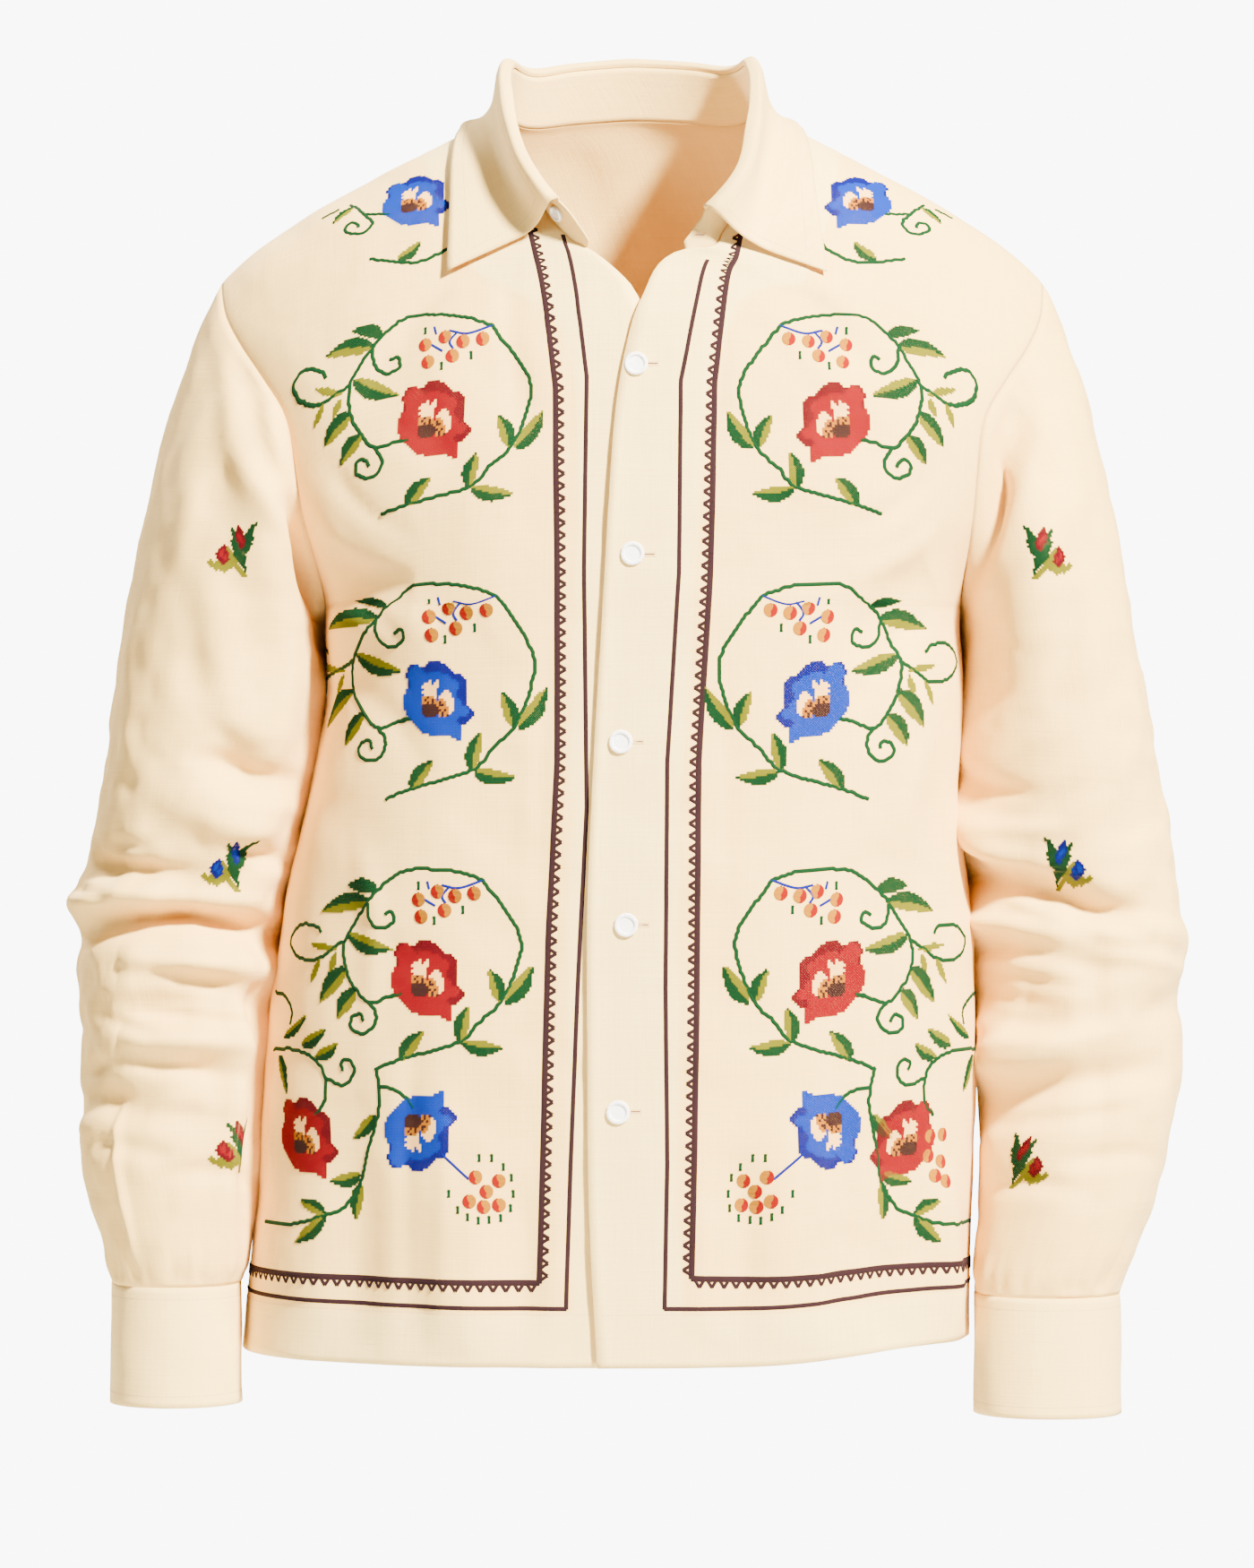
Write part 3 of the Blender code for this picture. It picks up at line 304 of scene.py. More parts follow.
BACK_FOLDS = (
    (-150, -250, -110, -290, -60, -300, 20, -5.0),
    (150, -250, 112, -288, 66, -304, 20, -5.0),
    (-120, -420, -112, -560, -118, -712, 26, -7.0),
    (-52, -440, -46, -580, -50, -712, 26, 6.0),
    (38, -430, 44, -570, 40, -712, 26, -6.5),
    (112, -420, 120, -560, 116, -712, 26, 6.0),
    # finer creases
    (-160, -220, -130, -250, -90, -262, 8, -2.0),
    (160, -222, 128, -250, 88, -264, 8, -2.0),
    (-90, -470, -84, -590, -88, -712, 9, 1.8),
    (-20, -460, -14, -580, -18, -712, 9, -1.6),
    (74, -470, 80, -590, 76, -712, 9, -1.8),
    (20, -120, 10, -200, 14, -300, 12, 1.4),
    (-60, -110, -70, -190, -64, -280, 11, -1.4),
    (150, -520, 156, -600, 152, -712, 9, 1.8),
)
# Folds of the sleeves: points (turn, z); turn 0 lies outward, 90 in front, 180 at the torso.
RIGHT_SLEEVE_FOLDS = (
    # turn0, z0, turn1, z1, turn2, z2, width, depth
    (108, -170, 140, -226, 166, -300, 14, -13.0),
    (64, -160, 96, -230, 128, -312, 16, 5.0),
    (92, -368, 112, -384, 140, -396, 12, -4.5),
    (80, -398, 110, -412, 150, -418, 12, 4.0),
    (20, -440, 70, -446, 130, -452, 10, -5.0),
    (-30, -462, 40, -456, 100, -458, 12, 5.0),
    (-6, -484, 76, -468, 172, -480, 10, -10.0),
    (60, -494, 110, -492, 170, -498, 10, 5.0),
    (70, -512, 110, -508, 165, -516, 10, -4.5),
    (60, -532, 100, -536, 150, -534, 10, 4.0),
    (-10, -582, 40, -569, 120, -577, 11, -5.5),
    (200, -452, 262, -470, 330, -462, 14, -7.0),
    (205, -500, 265, -505, 325, -520, 14, -5.0),
    (210, -380, 250, -400, 300, -430, 16, 4.5),
    (230, -590, 270, -600, 320, -596, 14, -4.5),
    # finer creases
    (66, -140, 104, -225, 160, -305, 9, 2.2),
    (112, -160, 134, -215, 170, -300, 7, -2.4),
    (182, -310, 180, -375, 178, -460, 30, 2.2),
    (178, -450, 180, -540, 180, -650, 28, 2.8),
    (40, -180, 58, -236, 74, -300, 12, 2.0),
    (66, -238, 74, -300, 92, -360, 10, -1.8),
    (30, -300, 40, -350, 60, -390, 10, 1.6),
    (130, -300, 128, -370, 124, -430, 11, 3.0),
    (160, -388, 120, -384, 80, -372, 6, -2.2),
    (164, -404, 124, -401, 84, -392, 6, 1.8),
    (36, -423, 52, -425, 72, -425, 4, -1.8),
    (10, -437, 50, -436, 98, -440, 5, -2.8),
    (14, -446, 60, -446, 110, -446, 5, 1.8),
    (2, -450, 36, -453, 60, -457, 4, -2.6),
    (10, -474, 76, -463, 164, -474, 5, -4.0),
    (14, -462, 76, -453, 160, -463, 7, 2.4),
    (168, -436, 140, -432, 108, -424, 5, -2.0),
    (60, -478, 96, -474, 140, -484, 6, 1.8),
    (70, -490, 100, -486, 136, -494, 5, -1.6),
    (56, -495, 92, -497, 132, -504, 5, -2.8),
    (50, -507, 96, -508, 138, -513, 5, 2.0),
    (50, -523, 70, -528, 88, -533, 4, -2.2),
    (62, -519, 100, -522, 142, -527, 4, -2.6),
    (60, -536, 100, -536, 140, -541, 5, 1.8),
    (64, -547, 100, -550, 142, -558, 6, -3.0),
    (8, -558, 34, -552, 56, -548, 5, -2.8),
    (60, -572, 100, -570, 140, -575, 7, 1.8),
    (14, -598, 54, -594, 98, -601, 6, -1.8),
    (88, -612, 120, -610, 162, -618, 6, -1.6),
    (61, -566, 61, -620, 60, -668, 3, 1.5),
    (131, -478, 134, -560, 130, -650, 9, 4.2),
    (152, -486, 156, -560, 152, -640, 10, -2.6),
    (200, -430, 250, -440, 310, -436, 7, -2.2),
    (210, -478, 260, -486, 320, -486, 7, 2.0),
    (206, -530, 262, -540, 322, -536, 8, -2.0),
    (240, -250, 262, -300, 282, -360, 12, 1.8),
)
LEFT_SLEEVE_FOLDS = (
    (62, -168, 96, -222, 140, -268, 11, -9.0),
    (60, -222, 92, -262, 122, -312, 16, 4.5),
    (176, -392, 150, -420, 120, -436, 13, 6.0),
    (178, -442, 120, -452, 50, -470, 10, -9.0),
    (0, -486, 40, -472, 84, -462, 12, 5.0),
    (178, -468, 140, -472, 96, -484, 10, 5.0),
    (178, -486, 130, -480, 84, -492, 10, -6.0),
    (178, -508, 140, -512, 96, -520, 11, -4.5),
    (176, -552, 130, -548, 90, -538, 12, 5.0),
    (70, -524, 34, -518, 4, -512, 12, -5.0),
    (172, -574, 110, -560, 30, -550, 12, -5.5),
    (200, -455, 262, -474, 330, -466, 14, -7.0),
    (205, -505, 265, -508, 325, -522, 14, -5.0),
    (210, -384, 250, -404, 300, -434, 16, 4.5),
    (230, -594, 270, -604, 320, -600, 14, -4.5),
    # finer creases
    (86, -168, 110, -215, 160, -256, 6, -2.0),
    (68, -172, 92, -228, 140, -288, 9, 1.6),
    (180, -285, 180, -375, 180, -450, 34, 3.0),
    (180, -425, 180, -475, 180, -545, 28, 2.6),
    (44, -182, 60, -238, 78, -300, 12, 1.8),
    (70, -236, 80, -296, 100, -350, 10, -1.8),
    (28, -310, 42, -360, 64, -396, 10, 1.5),
    (172, -380, 140, -392, 104, -396, 6, -2.2),
    (172, -404, 132, -414, 92, -416, 6, 2.0),
    (170, -430, 128, -440, 80, -452, 5, -2.6),
    (150, -450, 108, -464, 60, -480, 5, 2.6),
    (176, -462, 128, -464, 76, -474, 5, -2.4),
    (24, -470, 60, -462, 104, -466, 6, -2.2),
    (10, -498, 52, -490, 96, -486, 5, 2.0),
    (170, -497, 132, -500, 88, -506, 5, -2.4),
    (172, -520, 136, -526, 92, -530, 6, -2.0),
    (164, -540, 120, -536, 70, -530, 5, 1.8),
    (160, -586, 118, -580, 66, -574, 6, -1.8),
    (30, -560, 70, -566, 110, -576, 6, 1.7),
    (20, -606, 60, -600, 104, -604, 6, -1.8),
    (84, -620, 122, -616, 164, -622, 6, -1.6),
    (96, -420, 84, -520, 80, -640, 9, -1.6),
    (200, -432, 250, -442, 310, -438, 7, -2.2),
    (210, -480, 260, -488, 320, -488, 7, 2.0),
    (206, -534, 262, -544, 322, -540, 8, -2.0),
    (240, -252, 262, -302, 282, -362, 12, 1.8),
)
SLEEVE_SECTIONS = {1: LEFT_SLEEVE_SECTIONS, -1: RIGHT_SLEEVE_SECTIONS}
SLEEVE_FOLDS = {1: LEFT_SLEEVE_FOLDS, -1: RIGHT_SLEEVE_FOLDS}
SLEEVE_SEEDS = {1: 41, -1: 51}
# Folds beside the armholes by side: columns and rows of the frame, width, depth.
ARMHOLE_FOLDS = {
    -1: (
        (((240, 350), (250, 400), (268, 505), (300, 565), (322, 600), (366, 690)), 8.0, 4.6),
        (((258, 370), (282, 440), (304, 520), (330, 590), (352, 650)), 8.0, -6.5),
        (((222, 560), (236, 680), (262, 800), (300, 860)), 15.0, 3.4),
        (((290, 640), (282, 720), (268, 780)), 15.0, -3.4),
        (((232, 805), (262, 830), (290, 850)), 6.0, -3.2),
    ),
    1: (
        (((1150, 440), (1138, 491), (1120, 540), (1100, 580), (1086, 612)), 7.0, -5.0),
        (((1168, 450), (1156, 505), (1134, 560), (1110, 606)), 8.0, 3.2),
        (((1170, 640), (1160, 720), (1140, 800)), 15.0, 3.0),
        (((1110, 660), (1110, 740), (1100, 820)), 13.0, -3.0),
    ),
}


def eased(f, start, start_slope, end, end_slope):
    """The point at f from 0 to 1 on the smooth way between two points with their slopes."""
    return (
        (2 * f**3 - 3 * f**2 + 1) * start
        + (f**3 - 2 * f**2 + f) * start_slope
        + (3 * f**2 - 2 * f**3) * end
        + (f**3 - f**2) * end_slope
    )


def curve(rows, at):
    """The further columns of a table at places in its first column, smooth through the rows."""
    rows = np.asarray(rows, float)
    rows = rows[np.argsort(rows[:, 0])]
    key, values = rows[:, 0], rows[:, 1:]
    slope = np.gradient(values, key, axis=0)
    at = np.asarray(at, float)
    i = np.clip(np.searchsorted(key, at, side="right") - 1, 0, len(key) - 2)
    span = (key[i + 1] - key[i])[..., None]
    f = np.clip((at - key[i])[..., None] / span, 0.0, 1.0)
    return eased(f, values[i], span * slope[i], values[i + 1], span * slope[i + 1])


def ways(line):
    """How far along a line of points each of them lies."""
    return np.concatenate([[0.0], np.cumsum(np.linalg.norm(np.diff(line, axis=0), axis=1))])


def spots_along(line, at):
    """The flat places at these distances along a flat line."""
    way = ways(line)
    return np.column_stack([np.interp(at, way, line[:, 0]), np.interp(at, way, line[:, 1])])


def unit(vectors):
    return vectors / np.linalg.norm(vectors, axis=-1, keepdims=True)


def signed_power(value, power):
    return np.sign(value) * np.abs(value) ** power


def mix(a, b, share):
    return a + (b - a) * share


def fade(value):
    value = np.clip(value, 0.0, 1.0)
    return value * value * (3 - 2 * value)


def ridge_height(x, back=False):
    """Height of the shoulder ridge; the back's is rounded off at the middle."""
    away = np.abs(x - TORSO_SECTIONS[-1][1])
    rounding = NECK_ROUNDING * fade(1 - away / RIDGE[2][0]) if back else 0.0
    return curve(RIDGE, np.sqrt(away**2 + rounding**2))[..., 0]


def fullness(level, fall_off):
    """How far the cloth still stands out from the shoulder ridge at a level."""
    return np.sqrt(np.clip(1.0 - np.clip(level, 0.0, 1.0) ** fall_off, 0.0, 1.0))


def torso_section(level):
    """The torso's section at a level: the table's columns after the first."""
    return np.moveaxis(curve(TORSO_SECTIONS, level), -1, 0)


def torso_point(angle, level, back=False):
    """A point of the torso's cloth; angle 0 is its middle line, 90 degrees its side."""
    angle, level = np.broadcast_arrays(np.asarray(angle, float), np.asarray(level, float))
    middle_x, middle_y, half, front, rear, square = torso_section(level)
    x = middle_x + half * signed_power(np.sin(angle), 2 / square)
    depth = np.abs(np.cos(angle)) ** (2 / square)
    if back:
        y = middle_y + rear * depth * fullness(level, BACK_FALL_OFF)
    else:
        y = middle_y - front * depth * fullness(level, FRONT_FALL_OFF)
    lift = HEM_LIFT_LEFT * np.clip(-level, 0, 1) ** 2 * fade((x - 60.0) / 130.0)
    below = ARMPIT_Z - (ARMPIT_Z - HEM_Z) * -level + lift
    above = ARMPIT_Z + level * (ridge_height(x, back) - ARMPIT_Z)
    return np.stack([x, y, np.where(level < 0, below, above)], axis=-1)


def torso_angle(x, level):
    """The angle at which the torso's section has this x."""
    middle_x, _, half, _, _, square = torso_section(level)
    return np.arcsin(np.clip(signed_power((x - middle_x) / half, square / 2), -1.0, 1.0))


def torso_level(x, z, back=False):
    """The level at which the torso's cloth has this x and height."""
    above = (z - ARMPIT_Z) / (ridge_height(x, back) - ARMPIT_Z)
    return np.where(z < ARMPIT_Z, (z - ARMPIT_Z) / (ARMPIT_Z - HEM_Z), above)


def torso_depth(x, z, back):
    """The y of the torso's cloth at x and z."""
    level = np.clip(torso_level(x, z), -1.0, 1.0)
    return torso_point(torso_angle(x, level), level, back)[..., 1]


def armhole_angle(level, back):
    share = curve(ARMHOLE, level)[..., 1 if back else 0]
    return np.arcsin(np.clip(share, 0.0, 1.0) ** (torso_section(level)[5] / 2))


def row_levels():
    """The levels of a panel's rows, closer where the cloth turns over the shoulder."""
    upper = []
    for low, high in zip(UPPER_KNOTS[:-1], UPPER_KNOTS[1:]):
        share = np.arange(1, KNOT_STEPS + 1) / KNOT_STEPS
        if high == 1.0:
            share = 1.0 - (1.0 - share) ** 2
        upper.append(mix(low, high, share))
    return np.concatenate([np.linspace(-1.0, 0.0, LOWER_ROWS + 1), *upper])


def neck_end_x(side):
    """x of the neck end of a shoulder seam."""
    return FRONT_EDGES[side][-1][1]


def shoulder_x(side, share):
    """x along a shoulder seam, from the neck to the sleeve."""
    top = TORSO_SECTIONS[-1]
    tip = top[1] + side * top[3] * ARMHOLE[-1][1]
    return mix(neck_end_x(side), tip, share)


def arm_angle(side, level, back):
    return side * (armhole_angle(level, back) if level > 0 else math.pi / 2)


def panel_points(edge_angle, side, top_x, top_level, back):
    """Rows of a panel from the hem up; its columns run from one edge towards the armhole."""
    across = np.linspace(0, 1, len(top_x))
    top_edge = edge_angle(top_level[0])
    top_share = (torso_angle(top_x, top_level) - top_edge) / (arm_angle(side, 1.0, back) - top_edge)
    rows = []
    for level in row_levels():
        share = mix(across, top_share, max(level, 0.0) ** 1.5)
        column_level = level * top_level if level > 0 else np.full_like(across, level)
        angle = mix(edge_angle(column_level[0]), arm_angle(side, level, back), share)
        rows.append(torso_point(angle, column_level, back))
    return np.array(rows)


def front_points(side):
    """Outer points of one front, before folds; side is 1 for the wearer's left."""

    def edge_angle(level):
        return torso_angle(curve(FRONT_EDGES[side], level)[..., 0], level)

    top_x = shoulder_x(side, np.linspace(0, 1, FRONT_COLUMNS + 1))
    return panel_points(edge_angle, side, top_x, np.ones(FRONT_COLUMNS + 1), False)


def back_half_points(side):
    """Outer points of half the back, from its middle line to one side."""
    middle = TORSO_SECTIONS[-1][1] - 1.0
    turn = np.linspace(0, math.pi / 2, BACK_NECK_COLUMNS + 1)
    neck_x = mix(middle, neck_end_x(side), np.sin(turn))
    neck_level = mix(1.0, float(torso_level(middle, BACK_NECK_Z, True)), np.cos(turn) ** 1.6)
    shoulder = shoulder_x(side, np.linspace(0, 1, SHOULDER_COLUMNS + 1))
    top_x = np.concatenate([neck_x, shoulder[1:]])
    top_level = np.concatenate([neck_level, np.ones(SHOULDER_COLUMNS)])

    def middle_angle(level):
        return torso_angle(middle * np.clip(level, 0, 1), level)

    return panel_points(middle_angle, side, top_x, top_level, True)


def back_points():
    right, left = back_half_points(-1), back_half_points(1)
    return np.concatenate([right[:, ::-1], left[:, 1:]], axis=1)


def section_ring(sections, z, turn, side):
    """Points of a sleeve's section at height z; turn in radians, 0 outward, a quarter in front."""
    middle, middle_y, half, depth = np.moveaxis(curve(sections, z), -1, 0)
    power = 2 / SLEEVE_SQUARENESS
    x = side * (middle + half * signed_power(np.cos(turn), power))
    y = middle_y - depth * signed_power(np.sin(turn), power)
    return np.stack([x, y, np.broadcast_to(z, x.shape)], axis=-1)


def armhole_ring(front, back, side):
    """The armhole from the shoulder seam down the front, under the arm and up the back."""
    front_edge = front[LOWER_ROWS:, -1]
    back_edge = back[LOWER_ROWS:, -1 if side > 0 else 0]
    return np.concatenate([front_edge[::-1], back_edge[1:-1]])


def ring_turns(ring, armpit):
    """A turn for each point of the armhole by its share of the way from shoulder to armpit."""
    way = ways(np.concatenate([ring, ring[:1]]))
    front = way[: armpit + 1] / way[armpit] * math.pi
    behind = math.pi + (way[armpit + 1 : -1] - way[armpit]) / (way[-1] - way[armpit]) * math.pi
    return np.concatenate([front, behind])


def sleeve_points(sections, ring):
    """Rows of a sleeve from the armhole down; its columns start at the shoulder seam."""
    side = np.sign(ring[0, 0])
    armpit = KNOT_STEPS * (len(UPPER_KNOTS) - 1)
    turn = ring_turns(ring, armpit)
    cap_z, cuff_z = sections[-1][0], sections[0][0]
    end, below = (section_ring(sections, z, turn, side) for z in (cap_z, cap_z - 10.0))
    reach = np.linalg.norm(end - ring, axis=1)[:, None]
    leave = np.stack([
        side * mix(*SLEEVE_LEAVES_OUT, np.abs(np.cos(turn))),
        SLEEVE_LEAVES_BACK * np.sin(turn),
        np.full(len(turn), SLEEVE_LEAVES_UP),
    ], axis=-1)
    arrive = unit(below - end)
    steps, heights = np.linspace(0, 1, CAP_ROWS + 1), np.linspace(cap_z, cuff_z, ARM_ROWS + 1)[1:]
    cap = [eased(f, ring, reach * leave, end, reach * arrive) for f in steps]
    return np.array(cap + [section_ring(sections, z, turn, side) for z in heights]), turn


def cuff_points(side):
    """A band round the wrist whose ends lap behind."""
    z, middle, middle_y, half, depth = SLEEVE_SECTIONS[side][0]
    lap_end = CUFF_LAP_START + 360.0 + CUFF_LAP
    turn_degrees = np.linspace(CUFF_LAP_START, lap_end, CUFF_COLUMNS + 1)
    turn = np.radians(turn_degrees)
    outward = CUFF_LAP_OFFSET * (1 - fade((turn_degrees - CUFF_LAP_START - CUFF_LAP) / CUFF_LAP_FADE))
    away = np.stack([side * np.cos(turn), -np.sin(turn), np.zeros(len(turn))], axis=-1)
    rows = []
    for share in np.linspace(0, 1, CUFF_ROWS + 1):
        height = z - CUFF_LENGTH * share
        shape = np.array([middle, middle_y, half, depth]) + np.array(CUFF_GROWTH) * share
        sections = ((height, *shape), (height + 1.0, *shape))
        ring = section_ring(sections, height, turn, side)
        rows.append(ring + away * outward[:, None])
    return np.array(rows)


def neck_seam(left_front, right_front, back):
    """The neck seam from the right band's end round the back to the left band's end."""
    right = right_front[NECK_ROW:, 0]
    left = left_front[NECK_ROW:, 0]
    behind = back[-1, SHOULDER_COLUMNS : SHOULDER_COLUMNS + 2 * BACK_NECK_COLUMNS + 1]
    return np.concatenate([right, behind[1:-1], left[::-1]])


def neck_shares(seam):
    """-1 at the right band's end, 0 at the back middle and 1 at the left, by length."""
    way = ways(seam)
    middle = way[len(seam) // 2]
    return np.where(way < middle, way / middle - 1.0, (way - middle) / (way[-1] - middle))


def smoothed(points, rounds):
    """A line of points with its corners eased; its ends stay."""
    points = points.copy()
    for _ in range(rounds):
        points[1:-1] = (points[:-2] + 2 * points[1:-1] + points[2:]) / 4
    return points


def stand_top(seam, share):
    """The stand's top, square to the neck seam and leaning as in the table."""
    height, lean_left, lean_right = np.moveaxis(curve(STAND_RISE, np.abs(share)), -1, 0)
    lean = np.radians(np.where(share > 0, lean_left, lean_right))[:, None]
    along = unit(np.gradient(smoothed(seam, 40), axis=0))
    up = unit(np.array([0.0, 0.0, 1.0]) - along[:, 2:] * along)
    return seam + height[:, None] * (np.cos(lean) * up + np.sin(lean) * np.cross(up, along))


def stand_points(seam):
    top = stand_top(seam, neck_shares(seam))
    return np.array([mix(seam, top, step) for step in np.linspace(0, 1, STAND_ROWS + 1)])


def collar_points(seam, seam_normals):
    """The turned-down leaf from above the stand over its roll to its outer edge."""
    share = neck_shares(seam)
    covered = np.abs(share) < COLLAR_END_SHARE + 0.01
    top = stand_top(seam, share)[covered]
    share, foot, seam_normals = share[covered], seam[covered], seam_normals[covered]
    up = unit(top - foot)
    out = unit(np.cross(up, np.gradient(smoothed(top, 20), axis=0)))
    edge = curve(COLLAR_EDGE, np.abs(share))
    edge[:, 0] = np.sign(share) * edge[:, 0] + COLLAR_SHIFT_FRONT * np.abs(share) ** 2
    start = top + up * 0.2 - out * CLOTH_THICKNESS
    rise = start + up * COLLAR_RISE
    roll = top + up * (COLLAR_RISE + COLLAR_ROLL / 2) + out * COLLAR_ROLL
    over = mix(foot, edge, COLLAR_BREAK) + seam_normals * COLLAR_LIFT + out
    knots = np.array(COLLAR_KNOTS)
    lines = np.stack([start, rise, roll, over, edge])
    slopes = np.gradient(lines, knots, axis=0)
    rows = []
    places = np.arange(len(COLLAR_STEPS), dtype=float)
    for f in np.interp(np.arange(0, places[-1] + 0.01, 1 / COLLAR_FINENESS), places, COLLAR_STEPS):
        i = min(int(np.searchsorted(knots, f, side="right")) - 1, len(knots) - 2)
        span = knots[i + 1] - knots[i]
        t = min((f - knots[i]) / span, 1.0)
        row = eased(t, lines[i], span * slopes[i], lines[i + 1], span * slopes[i + 1])
        rows.append(mix(row, clear_of_torso(row), fade((f - COLLAR_LEAVES) / 0.11)))
    return np.array(rows)


def torso_height(x, y, back):
    """Height at which the torso's cloth above the armpit has this x and y."""
    level = np.full_like(x, 0.6)
    for _ in range(4):
        _, middle_y, _, front, rear, square = torso_section(level)
        angle = torso_angle(x, level)
        reach = np.where(back, rear, front) * np.cos(angle) ** (2 / square)
        share = np.clip(np.where(back, 1.0, -1.0) * (y - middle_y) / reach, 0.0, 1.0)
        level = (1 - share**2) ** (1 / np.where(back, BACK_FALL_OFF, FRONT_FALL_OFF))
    return ARMPIT_Z + level * (ridge_height(x) - ARMPIT_Z)


def clear_of_torso(points):
    """Points moved square off the torso's cloth until they clear it."""
    points = points.copy()
    back = points[:, 1] > TORSO_SECTIONS[-1][2]
    for _ in range(4):
        x, y, z = points.T
        here = torso_height(x, y, back)
        normal = np.stack([
            here - torso_height(x + 1.0, y, back),
            here - torso_height(x, y + 1.0, back),
            np.ones_like(x),
        ], axis=-1)
        length = np.linalg.norm(normal, axis=1)
        push = np.maximum(COLLAR_CLEARANCE - (z - here) / length, 0.0)
        points += (push / length)[:, None] * normal
    return points


def grid_normals(points, closed=False):
    """Normals of a grid of points whose columns run one way round the piece."""
    down = np.gradient(points, axis=0)
    if closed:
        across = (np.roll(points, -1, axis=1) - np.roll(points, 1, axis=1)) / 2
    else:
        across = np.gradient(points, axis=1)
    normal = np.cross(down, across)
    return normal / np.maximum(np.linalg.norm(normal, axis=-1, keepdims=True), 1e-9)


def fold_course(fold, count):
    """The two coordinates of a fold's path at evenly spaced steps along it."""
    rows = np.column_stack([[0, 0.5, 1], np.reshape(fold[:6], (3, 2))])
    return curve(rows, np.linspace(0, 1, count)).T


def path_on_torso(fold, back):
    """A fold's path over the torso."""
    x, z = fold_course(fold, 9)
    return np.stack([x, torso_depth(x, z, back), z], axis=-1)


def path_on_sleeve(fold, points, turn):
    """A fold's path over a sleeve, from the grid's column at its turn and the row at its height."""
    degrees, heights = fold_course(fold, 13)
    closed_turn = np.concatenate([np.degrees(turn), [360.0]])
    closed_points = np.concatenate([points, points[:, :1]], axis=1)
    path = []
    for angle, height in zip(degrees % 360.0, heights):
        right = int(np.clip(np.searchsorted(closed_turn, angle, side="right"), 1, len(turn)))
        share = (angle - closed_turn[right - 1]) / (closed_turn[right] - closed_turn[right - 1])
        column = mix(closed_points[:, right - 1], closed_points[:, right], share)
        order = np.argsort(column[:, 2])
        path.append([np.interp(height, column[order, 2], column[order, axis]) for axis in range(3)])
    return np.array(path)


def fold_height(points, path, width, depth):
    """How far a fold lifts each point: depth on the path, fading beside it and at its ends."""
    flat = points.reshape(-1, 3)
    reach = 2.6 * width
    near = np.all((flat > path.min(axis=0) - reach) & (flat < path.max(axis=0) + reach), axis=1)
    lift = np.zeros(len(flat))
    chosen = flat[near]
    if len(chosen):
        way = path[1:] - path[:-1]
        length = np.maximum(np.sum(way * way, axis=1), 1e-9)
        offset = chosen[:, None] - path[None, :-1]
        share = np.clip(np.sum(offset * way[None], axis=-1) / length, 0.0, 1.0)
        distance = np.linalg.norm(offset - share[..., None] * way[None], axis=-1)
        nearest = np.argmin(distance, axis=1)
        rows = np.arange(len(chosen))
        along = (nearest + share[rows, nearest]) / len(way)
        taper = np.sin(math.pi * np.clip(along, 0.02, 0.98)) ** 0.6
        lift[near] = depth * taper * np.exp(-((distance[rows, nearest] / width) ** 2))
    return lift.reshape(points.shape[:-1])


def edge_distance(points, edges):
    """The distance of each point from the nearest of some edge lines."""
    flat = points.reshape(-1, 3)
    nearest = np.full(len(flat), np.inf)
    for edge in edges:
        for start in range(0, len(edge), 24):
            part = edge[start : start + 24]
            gap = np.linalg.norm(flat[:, None] - part[None], axis=-1).min(axis=1)
            nearest = np.minimum(nearest, gap)
    return nearest.reshape(points.shape[:-1])


def ripple(points, seed, waves):
    """Smooth unevenness from a few waves of random direction: depth, longest and shortest."""
    depth, longest, shortest = waves
    random = np.random.default_rng(seed)
    total = np.zeros(points.shape[:-1])
    for _ in range(14):
        way = random.normal(size=3)
        way *= 2 * math.pi / random.uniform(shortest, longest) / np.linalg.norm(way)
        total += np.sin(points @ way + random.uniform(0, 2 * math.pi))
    return depth * np.tanh(total / 3.0)


def add_object(name, data):
    item = bpy.data.objects.new(name, data)
    bpy.context.scene.collection.objects.link(item)
    return item


def make_mesh(name, points, faces, material, looks, values):
    """A smooth mesh from points in millimetres; looks names the values that its material reads."""
    mesh = bpy.data.meshes.new(name)
    mesh.from_pydata((points.reshape(-1, 3) * MM).tolist(), [], faces.tolist())
    layer, kind, key = looks
    mesh.attributes.new(layer, kind, "POINT").data.foreach_set(key, values.astype(np.float32).ravel())
    mesh.materials.append(material)
    mesh.shade_smooth()
    return mesh


